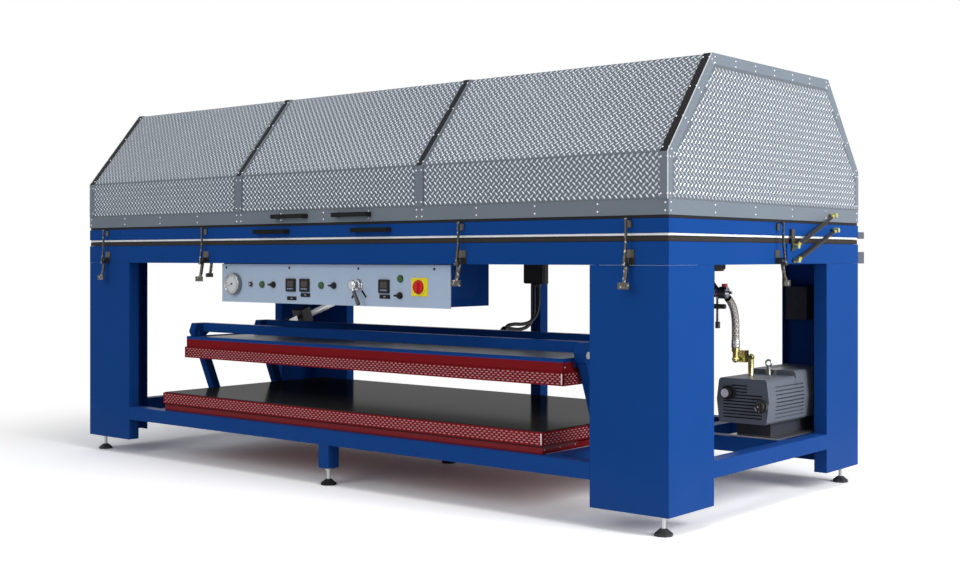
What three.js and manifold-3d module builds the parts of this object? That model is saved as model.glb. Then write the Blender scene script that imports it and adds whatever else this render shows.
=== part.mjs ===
// Two-platen vacuum forming press: stand, swinging oven, hinged membrane frame and tread-plate hood.
// Millimetres, +Z up. X runs left to right, -Y is the front, Z = 0 is the floor.
import * as THREE from 'three';
import { mergeVertices } from 'three/addons/utils/BufferGeometryUtils.js';
import Module from 'manifold-3d';

const wasm = await Module();
wasm.setup();

// Driving dimensions
const overallLength = 3300;
const overallDepth = 1500;
const frameBottom = 71;
const railBottom = 167;
const railSize = 60;
const bedBottom = 912;
const bedHeight = 80;
const bedSealHeight = 17;
const sheetThickness = 12;
const membraneFrameHeight = 49;
const hoodSealHeight = 11;
const skirtHeight = 52;
const hoodCrease = 1292;
const hoodTop = 1649;
const hoodSlopeRun = 288;
const hoodRibShare = 0.3224;
const platenEndClearance = 550;
const lowerPlatenSetBack = 35;
const upperPlatenSetBack = 160;
const platenDepth = 1000;
const lowerPlatenBottom = 227;
const upperPlatenBottom = 467;
const platenSwingPitch = 400;

// Clearances and overruns
const gap = 0.3;
const wideGap = 0.6;
const running = 0.5;
const overrun = 20;
const weldTolerance = 1e-3;

// Places that several pieces share
const halfLength = overallLength / 2;
const halfDepth = overallDepth / 2;
const bedTop = bedBottom + bedHeight;
const bedSealTop = bedTop + bedSealHeight;
const sheetTop = bedSealTop + sheetThickness;
const frameTop = sheetTop + membraneFrameHeight;
const skirtBottom = frameTop + hoodSealHeight;
const skirtTop = skirtBottom + skirtHeight;
const railTop = railBottom + railSize;
const halfRail = railSize / 2;
const ribCentre = halfLength * hoodRibShare;
const platenHalfLength = halfLength - platenEndClearance;
const lowerPlatenFront = lowerPlatenSetBack - halfDepth;
const upperPlatenFront = upperPlatenSetBack - halfDepth;

// Colours of the finishes
const blue = 0x1c4f9e;
const red = 0x8f1d22;
const skirtGrey = 0x7e8896;
const aluminium = 0xc3cad2;
const black = 0x17181a;
const rubber = 0x222326;
const silver = 0xc9ccd0;
const panelGrey = 0xa9b4c4;
const pumpGrey = 0x5a6068;
const white = 0xe8ecf0;

const steelBlue = { color: blue, roughness: 0.45, metalness: 0.1 };
const redPaint = { color: red, roughness: 0.5, metalness: 0.1 };
const greyPaint = { color: skirtGrey, roughness: 0.5, metalness: 0.3 };
const treadPlate = { color: aluminium, roughness: 0.35, metalness: 0.9 };
const blackPlastic = { color: black, roughness: 0.5, metalness: 0 };
const blackRubber = { color: rubber, roughness: 0.8, metalness: 0 };
const brightMetal = { color: silver, roughness: 0.25, metalness: 0.9 };

// Solids from three.js shapes
const fineSides = 16;
const plainSides = 10;
const coarseSides = 8;
const tinySides = 6;
const lugSteps = 6;

function toSolid(geometry) {
  const bare = new THREE.BufferGeometry();
  bare.setAttribute('position', geometry.getAttribute('position').clone());
  if (geometry.index) bare.setIndex(geometry.index.clone());
  const merged = mergeVertices(bare, weldTolerance);
  const position = merged.getAttribute('position');
  const index = merged.index.array;
  const triangles = [];
  const a = new THREE.Vector3();
  const b = new THREE.Vector3();
  const c = new THREE.Vector3();
  let volume = 0;
  for (let i = 0; i < index.length; i += 3) {
    const [p, q, r] = [index[i], index[i + 1], index[i + 2]];
    if (p === q || q === r || r === p) continue;
    triangles.push(p, q, r);
    a.fromBufferAttribute(position, p);
    b.fromBufferAttribute(position, q);
    c.fromBufferAttribute(position, r);
    volume += a.dot(b.cross(c));
  }
  if (volume < 0) {
    for (let i = 0; i < triangles.length; i += 3) {
      [triangles[i], triangles[i + 1]] = [triangles[i + 1], triangles[i]];
    }
  }
  return new wasm.Manifold(new wasm.Mesh({
    numProp: 3,
    vertProperties: new Float32Array(position.array),
    triVerts: new Uint32Array(triangles),
  }));
}

function toGeometry(solid) {
  const mesh = solid.getMesh();
  const geometry = new THREE.BufferGeometry();
  geometry.setAttribute('position', new THREE.BufferAttribute(mesh.vertProperties, 3));
  geometry.setIndex(new THREE.BufferAttribute(mesh.triVerts, 1));
  return geometry;
}

function weld(...solids) {
  return solids.flat(Infinity).reduce((whole, piece) => whole.add(piece));
}

function cut(solid, ...tools) {
  return tools.flat(Infinity).reduce((whole, tool) => whole.subtract(tool), solid);
}

function moved(solid, matrix) {
  return toSolid(toGeometry(solid).applyMatrix4(matrix));
}

function block(x0, x1, y0, y1, z0, z1) {
  const geometry = new THREE.BoxGeometry(Math.abs(x1 - x0), Math.abs(y1 - y0), Math.abs(z1 - z0));
  geometry.translate((x0 + x1) / 2, (y0 + y1) / 2, (z0 + z1) / 2);
  return toSolid(geometry);
}

// A rectangular ring seen from above
function ring(halfX, halfY, wall, z0, z1) {
  const outer = block(-halfX, halfX, -halfY, halfY, z0, z1);
  const inner = block(wall - halfX, halfX - wall, wall - halfY, halfY - wall, z0 - overrun, z1 + overrun);
  return cut(outer, inner);
}

// Turns a shape's own frame (u, v, depth) to lie across the named axis: x takes (y, z), y takes (x, z)
const acrossAxis = {
  x: new THREE.Matrix4().set(0, 0, 1, 0, 1, 0, 0, 0, 0, 1, 0, 0, 0, 0, 0, 1),
  y: new THREE.Matrix4().set(1, 0, 0, 0, 0, 0, -1, 0, 0, 1, 0, 0, 0, 0, 0, 1),
  z: new THREE.Matrix4(),
};

function along(axis, from, to) {
  const offset = axis === 'y' ? Math.max(from, to) : Math.min(from, to);
  const [x, y, z] = ['x', 'y', 'z'].map((name) => (name === axis ? offset : 0));
  return new THREE.Matrix4().makeTranslation(x, y, z);
}

function prism(axis, outline, from, to) {
  const shape = new THREE.Shape(outline.map(([u, v]) => new THREE.Vector2(u, v)));
  const geometry = new THREE.ExtrudeGeometry(shape, { depth: Math.abs(to - from), bevelEnabled: false });
  geometry.applyMatrix4(acrossAxis[axis]).applyMatrix4(along(axis, from, to));
  return toSolid(geometry);
}

// A round bar lying along the axis through (u, v)
function disc(axis, u, v, radius, from, to, sides = plainSides) {
  const turns = Array.from({ length: sides }, (_, i) => (i / sides) * Math.PI * 2);
  const outline = turns.map((turn) => [u + radius * Math.cos(turn), v + radius * Math.sin(turn)]);
  return prism(axis, outline, from, to);
}

// A hole to cut for a pin of this radius that turns in it: its flats stand the running clearance off the pin
function bore(axis, u, v, pinRadius, from, to, sides = plainSides) {
  return disc(axis, u, v, (pinRadius + running) / Math.cos(Math.PI / sides), from, to, sides);
}

// A round bar between two points
function bar(start, end, radius, sides = plainSides) {
  const direction = end.clone().sub(start);
  const geometry = new THREE.CylinderGeometry(radius, radius, direction.length(), sides);
  const up = new THREE.Vector3(0, 1, 0);
  geometry.applyQuaternion(new THREE.Quaternion().setFromUnitVectors(up, direction.clone().normalize()));
  const middle = start.clone().add(end).multiplyScalar(1 / 2);
  geometry.translate(middle.x, middle.y, middle.z);
  return toSolid(geometry);
}

// A turned piece: profile points are [radius, height], the axis is +Z through (x, y)
function turned(profile, x, y, z, sides = plainSides) {
  const geometry = new THREE.LatheGeometry(profile.map(([r, h]) => new THREE.Vector2(r, h)), sides);
  geometry.rotateX(Math.PI / 2).translate(x, y, z);
  return toSolid(geometry);
}

// The same piece with its axis pointing at the front, -Y
function turnedForward(profile, x, y, z, sides = plainSides) {
  const geometry = new THREE.LatheGeometry(profile.map(([r, h]) => new THREE.Vector2(r, h)), sides);
  geometry.rotateX(Math.PI).translate(x, y, z);
  return toSolid(geometry);
}

// A round tube along a smooth route
function hose(points, radius, steps, sides) {
  const route = new THREE.CatmullRomCurve3(points.map((point) => new THREE.Vector3(...point)));
  const shape = new THREE.Shape();
  shape.absarc(0, 0, radius, 0, Math.PI * 2);
  const settings = { steps, curveSegments: sides / 2, bevelEnabled: false, extrudePath: route };
  return toSolid(new THREE.ExtrudeGeometry(shape, settings));
}

// Scene graph: each moving body is a group that sits on its joint
const machine = new THREE.Group();
machine.name = 'machine';

function jointGroup(parent, name, pivot) {
  const group = new THREE.Group();
  group.name = name;
  group.userData.pivot = pivot.clone();
  group.position.copy(pivot).sub(parent.userData.pivot);
  parent.add(group);
  return group;
}

function place(group, name, solid, finish) {
  const { x, y, z } = group.userData.pivot;
  const geometry = toGeometry(solid).translate(-x, -y, -z);
  geometry.computeVertexNormals();
  const mesh = new THREE.Mesh(geometry, new THREE.MeshStandardMaterial(finish));
  mesh.name = name;
  group.add(mesh);
}

const at = (x, y, z) => new THREE.Vector3(x, y, z);
machine.userData.pivot = at(0, 0, 0);
const sides = [-1, 1];

// Levelling feet
const footRadius = 33;
const footRimHeight = 8;
const footConeTop = 24;
const footNeckRadius = 13;
const stemRadius = 8;
const nutRadius = 14;
const nutHeight = 11;
const footPlateThickness = 8;
const footInset = 54;

function footProfile() {
  const underPlate = frameBottom - gap;
  const overPlate = frameBottom + footPlateThickness + gap;
  return [
    [0, 0], [footRadius, 0], [footRadius, footRimHeight], [footNeckRadius, footConeTop],
    [stemRadius, footConeTop],
    [stemRadius, underPlate - nutHeight], [nutRadius, underPlate - nutHeight], [nutRadius, underPlate],
    [stemRadius, underPlate], [stemRadius, overPlate], [nutRadius, overPlate],
    [nutRadius, overPlate + nutHeight], [0, overPlate + nutHeight],
  ];
}

const cornerNames = {
  '-1': { '-1': 'front_left', 1: 'rear_left' },
  1: { '-1': 'front_right', 1: 'rear_right' },
};

function addFeet() {
  for (const sideX of sides) {
    for (const sideY of sides) {
      const foot = turned(
        footProfile(), sideX * (halfLength - footInset), sideY * (halfDepth - footInset), 0, coarseSides,
      );
      place(machine, `foot_${cornerNames[sideX][sideY]}`, foot, blackRubber);
    }
  }
}

// End frames: folded sheet columns and the side rail between them
const columnAlongX = 320;
const columnAlongY = 300;
const columnSheet = 5;
const columnLip = 55;
const footPlateReach = 110;
const footHoleClearance = 1;

function columnOutline(sideX, sideY) {
  const t = columnSheet;
  const local = [
    [0, 0], [columnAlongX, 0], [columnAlongX, columnLip], [columnAlongX - t, columnLip],
    [columnAlongX - t, t],
    [t, t], [t, columnAlongY - t], [columnLip, columnAlongY - t], [columnLip, columnAlongY],
    [0, columnAlongY],
  ];
  return local.map(([a, b]) => [sideX * (halfLength - a), sideY * (halfDepth - b)]);
}

function column(sideX, sideY) {
  const sheet = prism('z', columnOutline(sideX, sideY), frameBottom, bedBottom - gap);
  const cornerX = sideX * halfLength;
  const cornerY = sideY * halfDepth;
  const plate = block(
    cornerX, cornerX - sideX * footPlateReach, cornerY, cornerY - sideY * footPlateReach,
    frameBottom, frameBottom + footPlateThickness,
  );
  const hole = disc(
    'z', sideX * (halfLength - footInset), sideY * (halfDepth - footInset), stemRadius + footHoleClearance,
    frameBottom - overrun, frameBottom + footPlateThickness + overrun,
  );
  return cut(weld(sheet, plate), hole);
}

const starterWidth = 98;
const starterHeight = 142;
const starterDepth = 62;
const starterInset = 298;
const starterDrop = 98;

// The small starter box inside the rear right column
function starterBox() {
  const x = halfLength - starterInset;
  const y = halfDepth - columnSheet;
  const z = bedBottom - starterDrop;
  return block(x, x + starterWidth, y - starterDepth, y + columnSheet / 2, z - starterHeight, z);
}

function addEndFrames() {
  for (const sideX of sides) {
    const reach = halfDepth - columnAlongY + columnSheet / 2;
    const rail = block(
      sideX * halfLength, sideX * (halfLength - railSize), -reach, reach, railBottom, railTop,
    );
    const frame = weld(column(sideX, -1), column(sideX, 1), rail);
    if (sideX < 0) place(machine, 'end_frame_left', frame, steelBlue);
    else place(machine, 'end_frame_right', weld(frame, starterBox()), steelBlue);
  }
}

// Swing linkage of the upper platen: both swings are alike, the rear one a pitch further back
const swingLowerInset = 363;
const swingLowerRise = 48;
const swingUpperInset = 248;
const swingUpperRise = 108;
const swingLowerY = swingLowerInset - halfDepth;
const swingLowerZ = railTop + swingLowerRise;
const swingUpperY = swingUpperInset - halfDepth;
const swingUpperZ = upperPlatenBottom + swingUpperRise;
const armSize = 40;
const armClearance = 10;
const armInnerX = platenHalfLength + armClearance;
const armCentreX = armInnerX + armSize / 2;
const armEndReach = 22;
const lowerPinRadius = 12;
const lowerPinHead = 16;
const pivotPlateThickness = 6;
const armToPlate = 2;
const pinHeadThickness = 8;
const retainerThickness = 2.4;
const armToRetainer = 0.4;
const pivotPlateHalfFoot = 34;
const pivotPlateHalfTop = 14;
const pivotPlateTop = 24;
const armOuterX = armInnerX + armSize;
const swingShifts = { front: 0, rear: platenSwingPitch };
const torsionSize = 42;
const torsionAhead = 37;
const torsionAbove = 27;

function lowerPivot(sideX, shift) {
  const y = swingLowerY + shift;
  const plateStart = armOuterX + armToPlate;
  const outline = [
    [y - pivotPlateHalfFoot, railTop - pinHeadThickness],
    [y + pivotPlateHalfFoot, railTop - pinHeadThickness],
    [y + pivotPlateHalfTop, swingLowerZ + pivotPlateTop],
    [y - pivotPlateHalfTop, swingLowerZ + pivotPlateTop],
  ];
  const plateEnd = plateStart + pivotPlateThickness;
  const pinStart = armInnerX - armToRetainer - retainerThickness;
  return weld(
    prism('x', outline, sideX * plateStart, sideX * plateEnd),
    disc('x', y, swingLowerZ, lowerPinRadius, sideX * pinStart, sideX * plateEnd, coarseSides),
    disc('x', y, swingLowerZ, lowerPinHead, sideX * pinStart, sideX * (pinStart + retainerThickness)),
    disc('x', y, swingLowerZ, lowerPinHead, sideX * plateEnd, sideX * (plateEnd + pinHeadThickness)),
  );
}

// Base frame
const crossRailX = armCentreX;
const centreLegY = 38;
const pumpRailInsets = [560, 160];
const pumpRailYs = pumpRailInsets.map((inset) => halfDepth - inset);

function addBaseFrame() {
  const railEnd = halfLength - columnAlongX - gap;
  const innerY = halfDepth - halfRail;
  const pieces = [];
  for (const side of sides) {
    pieces.push(block(
      -railEnd, railEnd, side * halfDepth, side * (halfDepth - railSize), railBottom, railTop,
    ));
    pieces.push(block(
      side * crossRailX - halfRail, side * crossRailX + halfRail, -innerY, innerY, railBottom, railTop,
    ));
    for (const shift of Object.values(swingShifts)) pieces.push(lowerPivot(side, shift));
  }
  pieces.push(block(-halfRail, halfRail, -innerY, innerY, railBottom, railTop));
  for (const y of pumpRailYs) {
    pieces.push(
      block(crossRailX, halfLength - railSize - gap, y - halfRail, y + halfRail, railBottom, railTop),
    );
  }
  const legCentres = [-innerY, centreLegY, innerY];
  for (const y of legCentres) {
    const top = y === innerY ? bedBottom - gap : railTop;
    pieces.push(block(-halfRail, halfRail, y - halfRail, y + halfRail, frameBottom, top));
    pieces.push(weldedFoot(0, y));
  }
  place(machine, 'base_frame', weld(pieces), steelBlue);
}

// A middle foot whose nut is welded to the leg above it
function weldedFoot(x, y) {
  const top = frameBottom + footPlateThickness;
  const profile = [
    [0, 0], [footRadius, 0], [footRadius, footRimHeight], [footNeckRadius, footConeTop],
    [stemRadius, footConeTop],
    [stemRadius, frameBottom - nutHeight], [nutRadius, frameBottom - nutHeight], [nutRadius, top], [0, top],
  ];
  return turned(profile, x, y, 0, coarseSides);
}

// Toggle latches: places of the six, each facing out of the bed along its own -Y
const latchEndInset = 152;
const latchMiddleShare = 0.4564;
const latchOuterX = halfLength - latchEndInset;
const latchInnerX = halfLength * latchMiddleShare;
const latchXs = [-latchOuterX, -latchInnerX, latchInnerX, latchOuterX];
const latchSideY = 20;
const latchPivotOut = 20;
const latchPivotRise = 13;
const latchPivotZ = bedBottom + latchPivotRise;
const latchPinRadius = 3;
const latchCheekIn = 9;
const latchCheekThickness = 3;
const latchCheekReach = 28;
const latchCheekHalf = 12;
const latchPlateHalf = 18;
const latchPlateThickness = 3;
const latchPlateBelow = 12;
const latchPlateAbove = 40;
const hookPivotOut = 36;
const hookPivotDrop = 12;
const hookPivotZ = latchPivotZ - hookPivotDrop;

const latchPlaces = latchXs.map((x, i) => ({
  name: `front_${i + 1}`, origin: at(x, -halfDepth, 0), turn: 0,
}));
latchPlaces.push({ name: 'left', origin: at(-halfLength, latchSideY, 0), turn: -Math.PI / 2 });
latchPlaces.push({ name: 'right', origin: at(halfLength, latchSideY, 0), turn: Math.PI / 2 });

function latchMatrix({ origin, turn }) {
  return new THREE.Matrix4().makeTranslation(origin.x, origin.y, origin.z)
    .multiply(new THREE.Matrix4().makeRotationZ(turn));
}

// The fixed bracket of one latch, in the latch's own frame
function latchBracket() {
  const plate = block(
    -latchPlateHalf, latchPlateHalf, latchPlateThickness, -latchPlateThickness,
    latchPivotZ - latchPlateBelow, latchPivotZ + latchPlateAbove,
  );
  const cheeks = sides.map((side) => block(
    side * latchCheekIn, side * (latchCheekIn + latchCheekThickness), latchPlateThickness, -latchCheekReach,
    latchPivotZ - latchCheekHalf, latchPivotZ + latchCheekHalf,
  ));
  const pinEnd = latchCheekIn + latchCheekThickness;
  return weld(
    plate, cheeks, disc('x', -latchPivotOut, latchPivotZ, latchPinRadius, -pinEnd, pinEnd, tinySides),
  );
}

// Hinge of the membrane frame on the bed
const lidHingeOut = 35;
const lidHingeRise = 10;
const lidHingeY = halfDepth + lidHingeOut;
const lidHingeZ = bedTop + lidHingeRise;
const hingeBarOut = 60;
const hingeBarBack = halfDepth + hingeBarOut;
const hingeBarInset = 90;
const lowerBarHeight = 49;
const upperBarRise = 52;
const upperBarTop = bedTop + upperBarRise;
const upperBarHeight = 28;
const lugInset = 40;
const lugThickness = 8;
const lugRadius = 13;
const lugGap = 2;
const middleLugThickness = 16;
const lidPinRadius = 7;

function hingeLug(sideX, start, end, rootZ) {
  const outline = [];
  const up = rootZ < lidHingeZ ? 1 : -1;
  for (let i = 0; i <= lugSteps; i += 1) {
    const turn = (i / lugSteps) * Math.PI;
    outline.push([lidHingeY + lugRadius * Math.cos(turn), lidHingeZ + up * lugRadius * Math.sin(turn)]);
  }
  outline.push([lidHingeY - lugRadius, rootZ], [lidHingeY + lugRadius, rootZ]);
  return prism('x', outline, sideX * start, sideX * end);
}

function bedHinge(sideX) {
  const barTop = bedBottom + lowerBarHeight;
  const firstEnd = halfLength - lugInset;
  const firstStart = firstEnd - lugThickness;
  const secondEnd = firstStart - lugGap - middleLugThickness - lugGap;
  const secondStart = secondEnd - lugThickness;
  return weld(
    block(
      sideX * halfLength, sideX * (halfLength - hingeBarInset), halfDepth - halfRail, hingeBarBack,
      bedBottom, barTop,
    ),
    hingeLug(sideX, firstStart, firstEnd, barTop - lugRadius),
    hingeLug(sideX, secondStart, secondEnd, barTop - lugRadius),
    disc('x', lidHingeY, lidHingeZ, lidPinRadius, sideX * secondStart, sideX * (firstEnd + lugGap)),
  );
}

function lidHinge(sideX) {
  const end = halfLength - lugInset - lugThickness - lugGap;
  const start = end - middleLugThickness;
  const barBottom = upperBarTop - upperBarHeight;
  const lug = cut(
    hingeLug(sideX, start, end, barBottom + lugRadius),
    bore('x', lidHingeY, lidHingeZ, lidPinRadius, sideX * (start - overrun), sideX * (end + overrun)),
  );
  return weld(
    block(
      sideX * halfLength, sideX * (halfLength - hingeBarInset), halfDepth - weldBite, hingeBarBack,
      barBottom, upperBarTop,
    ),
    lug,
  );
}

// Air cylinder, lying in the plane X = cylinderX
const cylinderInset = 70;
const cylinderDrop = 66;
const cylinderLugOut = 57;
const cylinderLugRise = 10;
const cylinderX = cylinderInset - platenHalfLength;
const rearTubeY = swingUpperY + platenSwingPitch + torsionAhead;
const tubeZ = swingUpperZ + torsionAbove;
const cylinderFixed = at(cylinderX, halfDepth - railSize, bedBottom - cylinderDrop);
const cylinderMoving = at(cylinderX, rearTubeY + cylinderLugOut, tubeZ + cylinderLugRise);
const cylinderPinRadius = 9;
const bracketPlateThickness = 8;
const bracketHalfWidth = 34;
const bracketBelowPin = 22;
const tongueHalf = 12;
const tongueGap = 1.5;

function cylinderBracket() {
  const { y, z } = cylinderFixed;
  const inner = tongueHalf + tongueGap;
  const outer = inner + bracketPlateThickness;
  const plates = sides.map((side) => block(
    cylinderX + side * inner, cylinderX + side * outer, y - bracketHalfWidth, y + bracketHalfWidth,
    z - bracketBelowPin, bedBottom + railSize / 2,
  ));
  return weld(plates, disc(
    'x', y, z, cylinderPinRadius, cylinderX - outer - pivotPlateThickness,
    cylinderX + outer + pivotPlateThickness,
    fineSides,
  ));
}

// Gas springs on both ends: lower stud, upper stud, in the plane Y-Z
const springInsets = { lidLower: 609, lidUpper: 261, hoodLower: 614, hoodUpper: 280 };
const springRises = { lidLower: 15, lidUpper: -23, hoodLower: -40, hoodUpper: -27 };
const lidSpringLower = { y: halfDepth - springInsets.lidLower, z: bedBottom + springRises.lidLower };
const lidSpringUpper = { y: halfDepth - springInsets.lidUpper, z: frameTop + springRises.lidUpper };
const hoodSpringLower = { y: halfDepth - springInsets.hoodLower, z: sheetTop + springRises.hoodLower };
const hoodSpringUpper = { y: halfDepth - springInsets.hoodUpper, z: skirtTop + springRises.hoodUpper };
const studRadius = 6;
const studLength = 12;
const springPadThickness = 5;
const springPadInsets = [655, 310];
const springPadMargins = [3, 2];
const springPadYs = springPadInsets.map((inset) => halfDepth - inset);
const springPadZs = [bedBottom + springPadMargins[0], bedTop - springPadMargins[1]];
const eyeRadius = 10;
const eyeWidth = 22;
const springAxisX = halfLength + studLength + wideGap + eyeWidth / 2;

function stud(sideX, { y, z }, from = halfLength - studLength) {
  return disc('x', y, z, studRadius, sideX * from, sideX * (halfLength + studLength), coarseSides);
}

// Bed frame
const bedWall = 60;
const tableThickness = 6;
const tableDrop = 8;
const bearerShares = [-2 / 3, -1 / 3, 0, 1 / 3, 2 / 3];
const bearerXs = bearerShares.map((share) => share * halfLength);
const bearerWidth = 40;
const bearerHeight = 60;
const weldBite = 2;

function addBedFrame() {
  const tableTop = bedTop - tableDrop;
  const tableBottom = tableTop - tableThickness;
  const pieces = [ring(halfLength, halfDepth, bedWall, bedBottom, bedTop)];
  const insideX = halfLength - bedWall + weldBite;
  const insideY = halfDepth - bedWall + weldBite;
  pieces.push(block(-insideX, insideX, -insideY, insideY, tableBottom, tableTop));
  for (const x of bearerXs) {
    pieces.push(block(
      x - bearerWidth / 2, x + bearerWidth / 2, -insideY, insideY, tableBottom - bearerHeight,
      tableBottom + weldBite,
    ));
  }
  for (const side of sides) {
    pieces.push(bedHinge(side));
    pieces.push(block(
      side * (halfLength - weldBite), side * (halfLength + springPadThickness), ...springPadYs,
      ...springPadZs,
    ));
    pieces.push(stud(side, lidSpringLower));
  }
  pieces.push(cylinderBracket());
  for (const latch of latchPlaces) pieces.push(moved(latchBracket(), latchMatrix(latch)));
  place(machine, 'bed_frame', weld(pieces), steelBlue);
}

const sealInset = 14;
const sealWidth = 30;

function addBedSeal() {
  const seal = ring(halfLength - sealInset, halfDepth - sealInset, sealWidth, bedTop + gap, bedSealTop);
  place(machine, 'bed_seal', seal, blackRubber);
}

// Latch levers and hooks
const leverHalf = 7;
const leverEyeRadius = 7;
const leverThickness = 8;
const leverBendOut = 30;
const leverBendDrop = 57;
const leverFootOut = 40;
const leverFootDrop = 83;
const leverBendZ = latchPivotZ - leverBendDrop;
const leverFootZ = latchPivotZ - leverFootDrop;
const teeWidth = 46;
const teeHeight = 22;
const teeThickness = 4;
const hookRodRadius = 3.5;
const hookEyeRadius = 6;
const hookPinRadius = 2.5;
const hookEyeHalf = 4;
const hookOverlap = 1;
const hookTop = frameTop + hookOverlap;
const hookTipOut = 8;
const hookBendOut = 26;
const hookBendRise = 60;
const hookBendZ = latchPivotZ + hookBendRise;
const hookLipHalf = 6;
const hookLipHeight = 6;
const forkSlotHalf = hookEyeHalf + running;
const forkSlotClearance = 1;

function strut(from, to, half) {
  const [u0, v0] = from;
  const [u1, v1] = to;
  const length = Math.hypot(u1 - u0, v1 - v0);
  const du = (-(v1 - v0) / length) * half;
  const dv = ((u1 - u0) / length) * half;
  return [[u0 + du, v0 + dv], [u1 + du, v1 + dv], [u1 - du, v1 - dv], [u0 - du, v0 - dv]];
}

// A flat bar in the Y-Z plane from one point to the next
function link(from, to, half, x0, x1) {
  return prism('x', strut(from, to, half), x0, x1);
}

function latchLever() {
  const pivot = [-latchPivotOut, latchPivotZ];
  const hookPin = [-hookPivotOut, hookPivotZ];
  const bend = [-leverBendOut, leverBendZ];
  const foot = [-leverFootOut, leverFootZ];
  const eyes = [pivot, hookPin].map(
    ([y, z]) => disc('x', y, z, leverEyeRadius, -leverHalf, leverHalf, coarseSides),
  );
  const body = weld(
    eyes,
    link(pivot, hookPin, leverThickness / 2, -leverHalf, leverHalf),
    link(pivot, bend, leverThickness / 2, -leverHalf, leverHalf),
    disc('x', ...bend, leverThickness / 2, -leverHalf, leverHalf, tinySides),
    link(bend, foot, leverThickness / 2, -leverHalf, leverHalf),
    block(
      -teeWidth / 2, teeWidth / 2, -leverFootOut - teeThickness, -leverFootOut + teeThickness / 2,
      leverFootZ - teeHeight / 2, leverFootZ + teeHeight / 2,
    ),
  );
  const pivotBore = bore('x', ...pivot, latchPinRadius, -leverHalf - overrun, leverHalf + overrun, tinySides);
  const slotReach = leverEyeRadius + hookEyeRadius;
  const slot = block(
    -forkSlotHalf, forkSlotHalf, -hookPivotOut - slotReach, -hookPivotOut + hookEyeRadius + forkSlotClearance,
    hookPivotZ - slotReach, hookPivotZ + slotReach,
  );
  const pin = disc('x', ...hookPin, hookPinRadius, -leverHalf, leverHalf, tinySides);
  return weld(cut(body, pivotBore, slot), pin);
}

function latchHook() {
  const eye = [-hookPivotOut, hookPivotZ];
  const bend = [-hookBendOut, hookBendZ];
  const top = [-hookBendOut, hookTop - hookLipHeight / 2];
  const eyeDisc = disc('x', ...eye, hookEyeRadius, -hookEyeHalf, hookEyeHalf, coarseSides);
  const eyeBore = bore('x', ...eye, hookPinRadius, -hookEyeHalf - overrun, hookEyeHalf + overrun, tinySides);
  const lip = block(
    -hookLipHalf, hookLipHalf, -hookBendOut - hookRodRadius, -hookTipOut, hookTop - hookLipHeight, hookTop,
  );
  const rod = weld(
    link(eye, bend, hookRodRadius, -hookRodRadius, hookRodRadius),
    disc('x', ...bend, hookRodRadius, -hookRodRadius, hookRodRadius, tinySides),
    link(bend, top, hookRodRadius, -hookRodRadius, hookRodRadius),
    lip,
  );
  return cut(weld(eyeDisc, rod), eyeBore);
}

function addLatches() {
  for (const latch of latchPlaces) {
    const whole = new THREE.Group();
    whole.name = `latch_${latch.name}`;
    whole.position.copy(latch.origin);
    whole.rotation.z = latch.turn;
    whole.userData.pivot = at(0, 0, 0);
    machine.add(whole);
    const lever = jointGroup(whole, `latch_lever_${latch.name}`, at(0, -latchPivotOut, latchPivotZ));
    place(lever, `latch_lever_${latch.name}`, latchLever(), brightMetal);
    const hook = jointGroup(lever, `latch_hook_${latch.name}`, at(0, -hookPivotOut, hookPivotZ));
    place(hook, `latch_hook_${latch.name}`, latchHook(), brightMetal);
  }
}

// Control box and panel under the front beam
const panelHalfLength = 672;
const panelDrop = 3;
const panelHeight = 167;
const panelRecess = 23;
const panelTop = bedBottom - panelDrop;
const panelFace = panelRecess - halfDepth;
const panelThickness = 4;
const panelReturn = 160;
const panelReturnHeight = 129;
const panelReturnBottom = panelTop - panelReturnHeight;
const panelReturnCorner = 40;
const boxDepth = 232;
const boxWall = 3;
const boxInset = 6;

// Places on the panel are [x, z]; the drops are measured from its top edge
const onPanel = ([x, drop]) => [x, panelTop - drop];
const gaugePlace = onPanel([-584, 87]);
const buttonPlace = onPanel([-475, 87]);
const lampPlaces = [[-403, 88], [-35, 87], [413, 55]].map(onPanel);
const selectorPlaces = [[-330, 88], [41, 87], [411, 121]].map(onPanel);
const controllerPlaces = [[-218, 88], [-133, 88], [327, 86]].map(onPanel);
const windowPlaces = [[-215, 144], [-131, 129], [328, 127]].map(onPanel);
const valvePlace = onPanel([181, 82]);
const isolatorPlace = onPanel([515, 86]);
const screwPlaces = [[-642, 16], [-230, 16], [181, 16], [591, 16]].map(onPanel);
const cornerSteps = 4;

const lampRadius = 12;
const lampHeight = 9;
const buttonStemRadius = 6;
const buttonStemReach = 6;
const controllerSize = 52;
const controllerHeight = 8;
const windowWidth = 54;
const windowHeight = 13;
const windowRise = 2;
const isolatorPlateWidth = 83;
const isolatorPlateHeight = 72;
const isolatorPlateRise = 3;
const valveRadius = 22;
const valveNeckRadius = 14;
const valveHeight = 18;
const valveNeckHeight = 30;
const markReach = [30, 66];
const markHalf = 4;
const markRise = 2;
const markTurnsShares = [-0.19, 0.23];
const screwRadius = 5;
const screwRise = 2.5;

// A raised form on the panel's face, joined a little into the plate
function raised(x, z, width, height, rise) {
  return block(
    x - width / 2, x + width / 2, panelFace - rise, panelFace + weldBite, z - height / 2, z + height / 2,
  );
}

function valveMark(share) {
  const turn = share * Math.PI;
  const [x, z] = valvePlace;
  const ends = markReach.map((reach) => [x + reach * Math.sin(turn), z - reach * Math.cos(turn)]);
  return prism('y', strut(ends[0], ends[1], markHalf), panelFace - markRise, panelFace + weldBite);
}

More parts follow.
